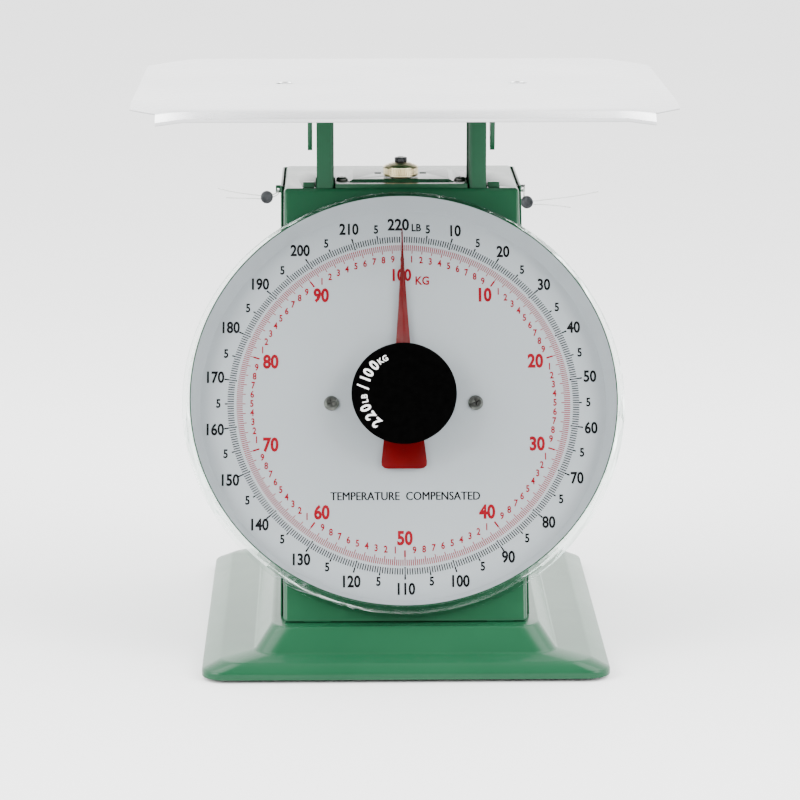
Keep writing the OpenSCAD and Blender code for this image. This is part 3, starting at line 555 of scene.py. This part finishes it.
# ---------------------------------------------------------------- top bridge and its screws
# A stout pressed plate lies between the posts. Its middle is raised and carries the whole
# load on the zero stem; two pan head screws hold it, and two small slots lie behind the knob.
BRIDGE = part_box("spring_bridge")
bpy.ops.object.select_all(action="DESELECT")
bpy.ops.mesh.primitive_cube_add(size=2, location=(0, 0, 0))
bridge = bpy.context.object
in_edit(bridge)
bpy.ops.mesh.select_all(action="SELECT")
bpy.ops.transform.resize(value=(BRIDGE[1].x, (BRIDGE[1].y - BRIDGE[0].y) / 2, 0.00125))
bpy.ops.transform.translate(value=(0, (BRIDGE[1].y + BRIDGE[0].y) / 2, BRIDGE[0].z + 0.00125))
pick(bridge, faces=lambda p, n: n.z > 0.9)
bpy.ops.mesh.inset(thickness=0.0075)
bpy.ops.mesh.extrude_region_move(
    TRANSFORM_OT_translate={"value": (0, 0, BRIDGE[1].z - BRIDGE[0].z - 0.0025)})
bpy.ops.transform.resize(value=(0.90, 0.88, 1))
done_edit()
carved(bridge, drum(0.0041, 0.03, (0, STEM_Y, BRIDGE[1].z)))
for sx in (-1, 1):
    x = sx * 0.014
    low, high = BRIDGE[0].z - 0.01, BRIDGE[1].z + 0.01
    carved(bridge, slab(x - 0.002, x + 0.002, STEM_Y + 0.012, STEM_Y + 0.018, low, high))
applied(bridge, "BEVEL", width=0.0009, segments=4, limit_method="ANGLE", angle_limit=rad(20),
    use_clamp_overlap=True)
smooth(bridge, 40)
settle(bridge, "bridge_plate", "housing", "green_enamel", green, "spring_bridge")


def plated(name, dark, light, rough):
    """Bare or plated metal with fine drawing marks."""
    metal = Finish(name, Metallic=1.0)
    marks = metal.noise(260, 4, (1, 1, 6))
    metal.feed(Base_Color=metal.ramp(metal.noise(70, 3), (0.3, dark), (0.75, light)),
        Roughness=marks * 0.22 + rough)
    metal.bump(marks, 0.12, 0.0002)
    return metal


zinc = plated("zinc plate", (0.42, 0.43, 0.42), (0.66, 0.66, 0.63), 0.22)
spring_steel = plated("drawn steel", (0.26, 0.27, 0.28), (0.46, 0.47, 0.48), 0.24)
blackened = plated("blackened steel", (0.030, 0.032, 0.034), (0.075, 0.078, 0.080), 0.32)
nickel = plated("dull nickel", (0.10, 0.10, 0.095), (0.24, 0.24, 0.22), 0.24)
for node in ("bridge_screws", "cover_screws", "base_screws", "dial_screws"):
    finished(node, node + "_turned", "zinc_steel", nickel, 0.00025, 30)
finished("overload_stops", "overload_stops_pressed", "green_enamel", green, 0.0005)
finished("seal_screw_left", "seal_screw_left_drilled", "green_enamel", green, 0.00025)
finished("seal_screw_right", "seal_screw_right_drilled", "zinc_steel", zinc, 0.00025)


# ---------------------------------------------------------------- lead seals
# Soft lead slugs, squeezed on the threads with a plier, dull grey with a pressed dimple.
lead = Finish("dull lead", Metallic=0.7, Roughness=0.55)
lead.feed(Base_Color=lead.ramp(
    lead.noise(300, 4), (0.3, (0.030, 0.031, 0.035)), (0.75, (0.090, 0.092, 0.100))))
lead.bump(lead.noise(500, 3), 0.35, 0.0004)
finished("lead_seal_left", "lead_seal_left_squeezed", "lead", lead, 0.0005, segments=3)
finished("lead_seal_right", "lead_seal_right_squeezed", "lead", lead, 0.0005, segments=3)


# ---------------------------------------------------------------- zero knob
# Turned brass with a fine knurl, a plain collar below and a chamfered top. A small dark
# hexagon nut locks it on the threaded stem.
def turned(profile, sides=180):
    """Spins an outline of (radius, height) points about the upright axis, as on a lathe."""
    bpy.ops.object.select_all(action="DESELECT")
    bpy.ops.mesh.primitive_plane_add(size=0.01)
    made = bpy.context.object
    in_edit(made, "VERT")
    bpy.ops.mesh.select_all(action="SELECT")
    bpy.ops.mesh.merge(type="CENTER")
    bpy.ops.mesh.select_all(action="SELECT")
    bpy.ops.transform.translate(value=(profile[0][0], 0, profile[0][1]))
    for (r0, h0), (r1, h1) in zip(profile, profile[1:]):
        bpy.ops.mesh.extrude_vertices_move(TRANSFORM_OT_translate={"value": (r1 - r0, 0, h1 - h0)})
    bpy.ops.mesh.select_all(action="SELECT")
    bpy.ops.mesh.spin(steps=sides, angle=rad(360), center=(0, 0, 0), axis=(0, 0, 1))
    bpy.ops.mesh.select_all(action="SELECT")
    bpy.ops.mesh.remove_doubles(threshold=0.00001)
    bpy.ops.mesh.normals_make_consistent(inside=False)
    done_edit()
    return made


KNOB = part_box("zero_knob")
KNOB_R = KNOB[1].x
brass = Finish("turned brass", Metallic=1.0)
turning = brass.noise(500, 3, (0.2, 0.2, 9))
brass.feed(Base_Color=brass.ramp(
    brass.noise(120, 3), (0.3, (0.62, 0.52, 0.30)), (0.75, (0.80, 0.72, 0.50))),
    Roughness=turning * 0.2 + 0.2)
brass.bump(turning, 0.15, 0.0002)
KNOB_H = KNOB[1].z - KNOB[0].z
KNURL = 176
knob = turned([
    (0.0023, 0), (0.0066, 0), (0.0068, 0.0007), (KNOB_R - 0.0004, 0.0007), (KNOB_R, 0.0010),
    (KNOB_R, 0.0017), (KNOB_R - 0.0003, 0.0019), (KNOB_R - 0.0003, 0.0056), (KNOB_R, 0.0058),
    (KNOB_R, 0.0064), (KNOB_R - 0.0005, 0.0069), (0.0052, KNOB_H), (0.0023, KNOB_H), (0.0023, 0)], KNURL)
# the grooves of the knurl, four steps of the turn to each
for v in knob.data.vertices:
    if abs(math.hypot(v.co.x, v.co.y) - KNOB_R + 0.0003) < 0.00005:
        step = round(math.degrees(math.atan2(v.co.y, v.co.x)) % 360 / (360 / KNURL))
        grow = (KNOB_R - (0.0006 if step % 4 < 2 else 0.00005)) / (KNOB_R - 0.0003)
        v.co.x, v.co.y = v.co.x * grow, v.co.y * grow
knob.location = (0, STEM_Y, KNOB[0].z)
smooth(knob, 25)
settle(knob, "zero_knob_knurled", "knob", "brass", brass, "zero_knob")
finished("zero_lock_nut", "zero_lock_nut_milled", "blackened_steel", blackened, 0.0003)


# ---------------------------------------------------------------- zero stem
# The stem is a turned and plated screw. It hangs in the bridge and lifts the yoke.
finished("zero_stem", "zero_stem_turned", "zinc_steel", zinc, 0.0003)


# ---------------------------------------------------------------- dial pan
# A round pan spun from thin steel, sprayed pale grey. Its wall opens out to a dark green rim
# close behind the corner of the lens, and two pan head screws hold it to the leaning front.
DROP = 0.137
MIDDLE = (0, BROW - DROP * math.sin(rad(TILT)), ROOF - DROP * math.cos(rad(TILT)))
DIAL = Matrix.Translation(MIDDLE) @ Matrix.Rotation(rad(90 - TILT), 4, "X")
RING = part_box("lens_gasket")[1].x - 0.0034


def on_dial(obj, place=(0, 0, 0), turn=0.0):
    """Puts a piece that was made flat into the plane of the dial."""
    obj.matrix_world = DIAL @ Matrix.Translation(place) @ Matrix.Rotation(turn, 4, "Z")
    return obj


LENS_H = 0.0168
dial = turned([
    (0.0052, 0.0002), (RING - 0.0072, 0.0002), (RING - 0.0060, 0.0007), (RING - 0.0054, 0.0018),
    (RING - 0.0012, LENS_H - 0.0024), (RING - 0.0014, LENS_H - 0.0022),
    (RING - 0.0020, LENS_H - 0.0022), (RING - 0.0022, LENS_H - 0.0024), (RING - 0.0069, 0.0026),
    (RING - 0.0074, 0.0018), (RING - 0.0082, 0.0016), (0.0052, 0.0016), (0.0052, 0.0002)])
smooth(dial, 35)
on_dial(dial)
pale = Finish("sprayed pale grey", Coat_Roughness=0.12, IOR=1.48)
fleck = pale.noise(900, 2)
pale.feed(Base_Color=pale.ramp(
    pale.noise(11, 2), (0.3, (0.500, 0.522, 0.560)), (0.75, (0.525, 0.548, 0.585))),
    Roughness=fleck * 0.08 + 0.34, Coat_Weight=pale.noise(7, 1) * 0.1 + 0.15)
pale.bump(fleck, 0.05, 0.0001)
settle(dial, "dial_pan", "housing", "dial_enamel", pale, "dial_plate")
bpy.ops.object.select_all(action="DESELECT")
bpy.ops.mesh.primitive_torus_add(
    major_radius=RING - 0.0016, minor_radius=0.0004, major_segments=240, minor_segments=8)
edge = bpy.context.object
smooth(edge, 60)
on_dial(edge, (0, 0, LENS_H - 0.0021))
settle(edge, "dial_pan_rim", "housing", "green_enamel", green)


# ---------------------------------------------------------------- dial printing
# Two scales are printed on the pan: black pounds outside, 0 to 220 in half pounds, and red
# kilograms inside, 0 to 100 in fifths. All figures stand upright as on a clock.
FACE = 0.00166
LINE = 0.10045
ink = Finish("black printing ink", Roughness=0.5, Specular_IOR_Level=0.08)
ink.feed(Base_Color=ink.ramp(ink.noise(1200), (0.3, (0.006, 0.006, 0.007)), (0.8, (0.016, 0.016, 0.018))))
red_ink = Finish("red printing ink", Roughness=0.5, Specular_IOR_Level=0.08)
red_ink.feed(Base_Color=red_ink.ramp(
    red_ink.noise(1200), (0.3, (0.30, 0.006, 0.016)), (0.8, (0.37, 0.010, 0.022))))


def ticks(inner, outer, width, count):
    """A ring of radial marks: one thin mark, arrayed round the middle of the dial."""
    bpy.ops.object.select_all(action="DESELECT")
    bpy.ops.mesh.primitive_plane_add(size=1)
    mark = bpy.context.object
    in_edit(mark)
    bpy.ops.mesh.select_all(action="SELECT")
    bpy.ops.transform.resize(value=(width, outer - inner, 1))
    bpy.ops.transform.translate(value=(0, (inner + outer) / 2, FACE))
    done_edit()
    step = bpy.data.objects.new("step", None)
    bpy.context.scene.collection.objects.link(step)
    step.rotation_euler.z = -rad(360) / count
    bpy.context.view_layer.update()
    made = mark.modifiers.new("round", "ARRAY")
    made.use_relative_offset = False
    made.use_object_offset = True
    made.offset_object = step
    made.count = count
    only(mark)
    bpy.ops.object.modifier_apply(modifier=made.name)
    bpy.data.objects.remove(step)
    return mark


def figure(words, size, place, turn=0.0, heavy=0.0, narrow=0.86):
    """One printed word or number, centred at its place on the dial."""
    text = bpy.data.curves.new("figure", "FONT")
    text.body = words
    text.size = size
    text.align_x = "CENTER"
    text.align_y = "CENTER"
    text.resolution_u = 3
    text.offset = heavy * size
    piece = bpy.data.objects.new("figure", text)
    bpy.context.scene.collection.objects.link(piece)
    turned_place = Matrix.Translation(place) @ Matrix.Rotation(turn, 4, "Z")
    piece.matrix_world = turned_place @ Matrix.Diagonal((narrow, 1, 1, 1))
    return piece


def at(radius, share, height=FACE):
    """A place on the dial at a share of the clockwise turn."""
    return (radius * math.sin(rad(360) * share), radius * math.cos(rad(360) * share), height)


def printed(name, finish, marks, figures, slot="dial_enamel"):
    """Turns the figures into meshes, joins them to the marks and lays all on the dial."""
    if figures:
        only(*figures)
        bpy.ops.object.convert(target="MESH")
        bpy.ops.object.transform_apply(location=True, rotation=True, scale=True)
    only(*(marks + figures))
    bpy.ops.object.join()
    made = bpy.context.object
    on_dial(made)
    return settle(made, name, "housing", slot, finish)


black_marks = [
    ticks(LINE + 0.0011, LINE + 0.0050, 0.00062, 440),
    ticks(LINE + 0.0050, LINE + 0.0066, 0.00080, 44),
    ticks(LINE + 0.0004, LINE + 0.0011, 0.00092, 22),
    ticks(LINE + 0.0066, LINE + 0.0080, 0.00092, 22),
]
black_figures = [
    figure(str(n * 10), 0.0098, at(LINE + 0.0128 + (0.0012 if n > 9 else 0), n / 22),
           heavy=0.032, narrow=0.80)
    for n in range(1, 22)]
black_figures += [
    figure("5", 0.0074, at(LINE + 0.0104, (n + 0.5) / 22), heavy=0.032, narrow=0.80) for n in range(22)]
black_figures += [
    figure("220", 0.0102, (-0.0022, LINE + 0.0122, FACE), heavy=0.030),
    figure("LB", 0.0066, (0.0086, LINE + 0.0104, FACE), heavy=0.028),
]
# the long line is printed twice, a hair apart, to make its strokes stouter
black_figures += [
    figure("TEMPERATURE  COMPENSATED", 0.0073, (0.0006 + shift, -0.0577, FACE), narrow=0.86)
    for shift in (-0.00016, 0.00016)]
printed("dial_print_pounds", ink, black_marks, black_figures)
red_marks = [
    ticks(LINE - 0.0041, LINE - 0.0004, 0.00050, 500),
    ticks(LINE - 0.0058, LINE - 0.0041, 0.00048, 100),
    ticks(LINE - 0.0098, LINE - 0.0058, 0.00100, 10),
]
red_figures = [
    figure(str(n % 10), 0.0058, at(LINE - 0.0096, n / 100), heavy=0.030, narrow=0.80)
    for n in range(1, 100) if n % 10]
red_figures += [
    figure(str(n * 10), 0.0116, at(LINE - 0.0168, n / 10), heavy=0.042, narrow=0.80)
    for n in range(1, 10)]
red_figures += [
    figure("0", 0.0058, (0, LINE - 0.0100, FACE), heavy=0.030, narrow=0.80),
    figure("100", 0.0104, (-0.0010, LINE - 0.0200, FACE), heavy=0.036, narrow=0.82),
    figure("KG", 0.0074, (0.0120, LINE - 0.0235, FACE), heavy=0.026),
]
printed("dial_print_kilograms", red_ink, red_marks, red_figures)


# ---------------------------------------------------------------- pointer
# Pressed from thin sheet and dipped dark red: a raised rib runs along the needle, and the
# broad tail balances it. A turned hub is pressed on the arbor.
def pressed_blade(stations, rib, height):
    """A long sheet with a folded middle: stations give the distance, half width and rise."""
    bpy.ops.object.select_all(action="DESELECT")
    bpy.ops.mesh.primitive_grid_add(x_subdivisions=4, y_subdivisions=len(stations) - 1, size=2)
    blade = bpy.context.object
    rows = sorted({round(v.co.y, 5) for v in blade.data.vertices})
    for v in blade.data.vertices:
        distance, half, rise = stations[rows.index(round(v.co.y, 5))]
        column = round(v.co.x * 2)
        across = math.copysign((0, rib, 1)[abs(column)], column) * half
        v.co = (across, distance,
            height + (rise if column == 0 else rise * 0.45 if abs(column) == 1 else 0))
    return blade


tail = 0.0415
blade = pressed_blade([
    (-tail, 0.0095, 0), (-tail + 0.0004, 0.0118, 0), (-tail * 0.955, 0.0134, 0),
    (-tail * 0.90, 0.0136, 0.0002), (-tail * 0.56, 0.0120, 0.0004), (-tail * 0.50, 0.0070, 0.0004),
    (-tail * 0.30, 0.0044, 0.0004), (0, 0.0055, 0.0004), (0.0110, 0.0046, 0.0010),
    (0.0383, 0.0042, 0.0014), (0.0600, 0.0027, 0.0012), (0.0800, 0.0015, 0.0008),
    (0.0960, 0.0006, 0.0004), (0.1095, 0.0003, 0)], 0.42, 0.0054)
applied(blade, "SOLIDIFY", thickness=0.0005, offset=-1)
hub = turned([
    (0.0015, 0.0042), (0.0043, 0.0042), (0.0045, 0.0044), (0.0045, 0.0084), (0.0043, 0.0086),
    (0.0015, 0.0086), (0.0015, 0.0042)], 48)
applied(blade, "BEVEL", width=0.00015, segments=2, limit_method="ANGLE", angle_limit=rad(60),
    use_clamp_overlap=True)
only(blade, hub)
bpy.ops.object.join()
smooth(blade, 28)
on_dial(blade)
pointer_red = Finish("pointer red", Specular_IOR_Level=0.12, Coat_Roughness=0.1)
pointer_red.feed(
    Base_Color=pointer_red.ramp(
        pointer_red.noise(60, 3), (0.3, (0.120, 0.0018, 0.0032)), (0.75, (0.170, 0.0036, 0.0058))),
    Roughness=pointer_red.noise(300, 3) * 0.1 + 0.25,
    Coat_Weight=pointer_red.noise(20) * 0.05 + 0.02)
settle(blade, "pointer_pressed", "pointer", "pointer_red", pointer_red, "pointer")


# ---------------------------------------------------------------- lens
# Moulded clear plastic: an outer flange, an upright ring wall and a low dome with a round
# flat in its middle. It is left clear, and a clear ring of soft plastic lies under it.
DOME = 0.0064
LABEL_R = 0.0313
clear = Finish("clear moulded plastic")
gloss = clear.add("ShaderNodeBsdfGlossy", {}, {"Color": (0.93, 0.97, 0.95, 1), "Roughness": 0.03})
through = clear.add("ShaderNodeBsdfTransparent", {}, {"Color": (0.975, 0.985, 0.980, 1)})
fresnel = clear.add("ShaderNodeFresnel", {}, {"IOR": 1.49})
haze = clear.noise(50, 3)
both = clear.add(
    "ShaderNodeMixShader", {}, {0: fresnel * 0.7 - haze * 0.01 - 0.024, 1: through, 2: gloss})
clear.links.new(both.socket, clear.nodes["Material Output"].inputs["Surface"])
clear.nodes.remove(clear.shader)


def dome_height(r):
    """Height of the lens face at radius r: a crowned dome inside the ring edge."""
    share = min(1.0, max(0.0, (RING - r) / (RING - LABEL_R - 0.0012)))
    return LENS_H + DOME * math.sin(share * rad(90)) ** 0.8


outline = [(RING + 0.0033, 0.0047), (RING + 0.0034, 0.0049), (RING + 0.0034, 0.0058),
    (RING + 0.0032, 0.0060), (RING + 0.0021, 0.0061),
           (RING + 0.0016, 0.0066), (RING + 0.0001, LENS_H - 0.0010), (RING - 0.0004, LENS_H - 0.0002)]
outer = [RING - 0.0012, RING - 0.0030, RING - 0.0060, RING - 0.0120, RING - 0.0220, RING - 0.0340,
    RING - 0.0480, RING - 0.0640,
         RING - 0.0800, LABEL_R + 0.0060, LABEL_R + 0.0012, LABEL_R * 0.5, 0.0006]
outline += [(r, dome_height(r)) for r in outer]
outline += [(r, dome_height(r) - 0.0016) for r in reversed(outer)]
outline += [(RING - 0.0011, LENS_H - 0.0018), (RING + 0.0010, 0.0047), (RING + 0.0033, 0.0047)]
finished("lens_gasket", "lens_gasket_cut", "rubber", clear, 0)
lens = turned(outline, 240)
smooth(lens, 60)
on_dial(lens)
settle(lens, "lens_moulded", "housing", "clear_plastic", clear, "lens")


# ---------------------------------------------------------------- label disc
# A round black film is stuck on the flat of the lens. Only the capacity is printed on it.
FLAT = LENS_H + DOME
disc = turned([
    (0.0003, FLAT), (LABEL_R, FLAT), (LABEL_R, FLAT + 0.0004), (LABEL_R - 0.0004, FLAT + 0.0006),
    (0.0003, FLAT + 0.0006)], 128)
in_edit(disc, "EDGE")
pick(disc, edges=lambda p, d: math.hypot(p.x, p.y) < 0.0004)
bpy.ops.mesh.edge_face_add()
done_edit()
smooth(disc, 35)
on_dial(disc)
film = Finish("black film", Specular_IOR_Level=0.0)
film.feed(Base_Color=film.ramp(
    film.noise(300), (0.3, (0.0006, 0.0006, 0.0006)), (0.8, (0.0012, 0.0012, 0.0012))),
    Roughness=film.noise(900, 2) * 0.08 + 0.5)
settle(disc, "label_disc", "housing", "black_label", film, "lens_label")
white = Finish("white printing ink", Roughness=0.4)
white.feed(Base_Color=white.ramp(white.noise(900), (0.3, (0.80, 0.80, 0.80)), (0.8, (0.88, 0.88, 0.88))))
LABEL_Z = FLAT + 0.00064
around = []
for word, size, radius, bearing, heavy in [
    ("2", 0.0088, 0.0243, 222, 0.03),
    ("2", 0.0088, 0.0243, 235, 0.03),
    ("0", 0.0088, 0.0243, 248, 0.03),
    ("L", 0.0050, 0.0235, 258, 0.02),
    ("B", 0.0050, 0.0235, 265, 0.02),
    ("/", 0.0100, 0.0243, 279, 0.02),
    ("1", 0.0088, 0.0243, 291, 0.03),
    ("0", 0.0088, 0.0243, 301, 0.03),
    ("0", 0.0088, 0.0243, 314, 0.03),
    ("K", 0.0050, 0.0240, 324.5, 0.02),
    ("G", 0.0050, 0.0240, 332.5, 0.02),
]:
    spot = at(radius, bearing / 360, LABEL_Z)
    around.append(figure(word, size, spot, turn=-rad(bearing), heavy=heavy, narrow=0.9))
printed("label_print", white, [], around, "black_label")


# ---------------------------------------------------------------- yoke and springs
# The zero stem lifts a channel yoke with two pins. Two close wound steel springs carry the
# load frame by its crossbar: a closed loop below, and above an eye with a plug in the coil.
for node in ("spring_yoke", "crossbar"):
    finished(node, node + "_folded", "zinc_steel", zinc, 0.0005)
for node in (
        "yoke_pins", "crossbar_pins", "upper_frame_shaft", "lower_frame_shaft", "upper_housing_shaft",
        "lower_housing_shaft"):
    finished(node, node + "_ground", "spring_steel", spring_steel, 0.0003)
YOKE_PIN = (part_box("yoke_pins")[0].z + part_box("yoke_pins")[1].z) / 2
BAR_PIN = (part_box("crossbar_pins")[0].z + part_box("crossbar_pins")[1].z) / 2
SPRING_X = 0.018
WIRE = 0.0011
COIL = 0.0066
LOOP = 0.0025 + WIRE + 0.0002
TURNS = 21
LOW, HIGH = BAR_PIN + LOOP + 2 * WIRE, YOKE_PIN - LOOP - 2 * WIRE


def coil_spring(x):
    """A wound spring: one turn of wire spun with a rise, then a closed loop at its lower end."""
    bpy.ops.object.select_all(action="DESELECT")
    bpy.ops.mesh.primitive_circle_add(vertices=10, radius=WIRE, fill_type="NOTHING")
    wire = bpy.context.object
    in_edit(wire, "VERT")
    bpy.ops.mesh.select_all(action="SELECT")
    bpy.ops.transform.rotate(value=rad(90), orient_axis="X", center_override=(0, 0, 0))
    bpy.ops.transform.translate(value=(COIL, 0, 0))
    done_edit()
    made = wire.modifiers.new("wind", "SCREW")
    made.angle = rad(360)
    made.iterations = TURNS
    made.screw_offset = (HIGH - LOW - 2 * WIRE) / TURNS
    made.steps = made.render_steps = 26
    made.use_merge_vertices = False
    only(wire)
    bpy.ops.object.modifier_apply(modifier=made.name)
    in_edit(wire, "EDGE")
    bpy.ops.mesh.select_non_manifold()
    bpy.ops.mesh.edge_face_add()
    bpy.ops.mesh.select_all(action="SELECT")
    bpy.ops.mesh.normals_make_consistent(inside=False)
    bpy.ops.transform.translate(value=(0, 0, LOW + WIRE))
    done_edit()
    return hung(x, wire, eye_loop(BAR_PIN), drum(WIRE, COIL, (COIL / 2, 0, LOW + WIRE), "X", 10))


def eye_loop(z):
    """A closed eye of spring wire round a pin."""
    bpy.ops.object.select_all(action="DESELECT")
    bpy.ops.mesh.primitive_torus_add(
        major_radius=LOOP, minor_radius=WIRE, major_segments=32, minor_segments=10, location=(0, 0, z),
        rotation=(rad(90), 0, 0))
    return bpy.context.object


def hung(x, *parts):
    """Joins the parts into one piece and puts it on its side of the stem."""
    only(*parts)
    bpy.ops.object.join()
    made = bpy.context.object
    only(made)
    bpy.ops.object.transform_apply(location=True, rotation=True, scale=True)
    made.location = (x, STEM_Y, 0)
    smooth(made, 50)
    return made


for side, name in ((-1, "spring_left"), (1, "spring_right")):
    coil = settle(coil_spring(side * SPRING_X), name + "_wound", None, "spring_steel", spring_steel, name)
    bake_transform(coil)
    shank = drum(WIRE, 0.0100, (0, 0, HIGH - 0.0030), sides=16)
    plug = drum(COIL - WIRE - 0.0004, 0.0030, (0, 0, HIGH - 0.0070), sides=32)
    applied(plug, "BEVEL", width=0.0005, segments=2, limit_method="ANGLE", angle_limit=rad(50))
    settle(hung(side * SPRING_X, eye_loop(YOKE_PIN), shank, plug), name + "_eye", "yoke", "spring_steel",
        spring_steel)


# ---------------------------------------------------------------- load frame, links and movement
# The rest inside is mostly zinc plated steel and brass: studs, clips and links that keep the
# load frame upright, and the rack movement behind the dial.
for node in (
        "tray_studs", "crossbar_screws", "drive_arm", "drive_pin", "upper_link", "lower_link",
        "rack_guide", "movement_screws", "movement_studs", "rack_foot"):
    finished(node, node + "_zinc", "zinc_steel", zinc, 0.0003)
finished("rack", "rack_cut", "brass", brass, 0)
for node in ("arbor", "rack_rivets"):
    finished(node, node + "_cut", "spring_steel", spring_steel, 0)
for node in ("movement_front_plate", "movement_back_plate", "movement_pillars", "arbor_bushes"):
    finished(node, node + "_brass", "brass", brass, 0.0003)
for node in ("frame_clips", "housing_clips"):
    finished(node, node + "_pressed", "blackened_steel", blackened, 0.0001)
finished("link_bracket", "link_bracket_folded", "green_enamel", green, 0.0004)


# ---------------------------------------------------------------- floor and light
# A plain pale floor under a white sky that is brighter at its sides and at the back. Two small
# weak lamps hang above the sides, and two large ones stand to the left and right in front.
bpy.ops.object.select_all(action="DESELECT")
bpy.ops.mesh.primitive_plane_add(size=30)
floor = bpy.context.object
floor.name = "floor"
paper = Finish("white floor", Roughness=0.8)
paper.feed(Base_Color=paper.ramp(paper.noise(2), (0.3, (0.86, 0.86, 0.86)), (0.7, (0.88, 0.88, 0.88))))
floor.data.materials.append(paper.material)
sky = bpy.data.worlds.new("studio")
bpy.context.scene.world = sky
dome = Board(sky)
way = dome.add("ShaderNodeTexCoord", {}, {}, "Generated")
side = dome.add("ShaderNodeSeparateXYZ", {}, {"Vector": way}, "X")
back = dome.add("ShaderNodeSeparateXYZ", {}, {"Vector": way}, "Y")
behind = dome.add("ShaderNodeMath", {"operation": "MAXIMUM"}, {0: back, 1: 0.0})
ahead = dome.add(
    "ShaderNodeVectorMath", {"operation": "DOT_PRODUCT"},
    {0: way, 1: (0, -math.cos(rad(44)), math.sin(rad(44)))}, "Value")
dim = dome.add(
    "ShaderNodeMapRange", {"interpolation_type": "SMOOTHSTEP"},
    {"Value": ahead, "From Min": 0.72, "From Max": 0.97, "To Min": 1.0, "To Max": 0.2})
glow = dome.add(
    "ShaderNodeBackground", {},
    {"Color": (1, 1, 1, 1), "Strength": (side * side * 2.9 + behind * 2.1 + 1.95) * dim})
dome.links.new(glow.socket, dome.nodes["World Output"].inputs["Surface"])
for name, x, y, z, width, watts in [
    ("left_above", -0.55, 0.0, 1.05, 0.75, 12),
    ("right_above", 0.55, 0.0, 1.05, 0.75, 12),
    ("left_far", -2.4, -1.6, 1.6, 1.6, 100),
    ("right_far", 2.4, -1.6, 1.6, 1.6, 100),
]:
    light = bpy.data.lights.new(name, "AREA")
    light.size = width
    light.energy = watts
    lamp = bpy.data.objects.new(name, light)
    bpy.context.scene.collection.objects.link(lamp)
    lamp.location = (x, y, z)
    lamp.rotation_euler = (Vector((0, 0, 0.15)) - lamp.location).to_track_quat("-Z", "Y").to_euler()
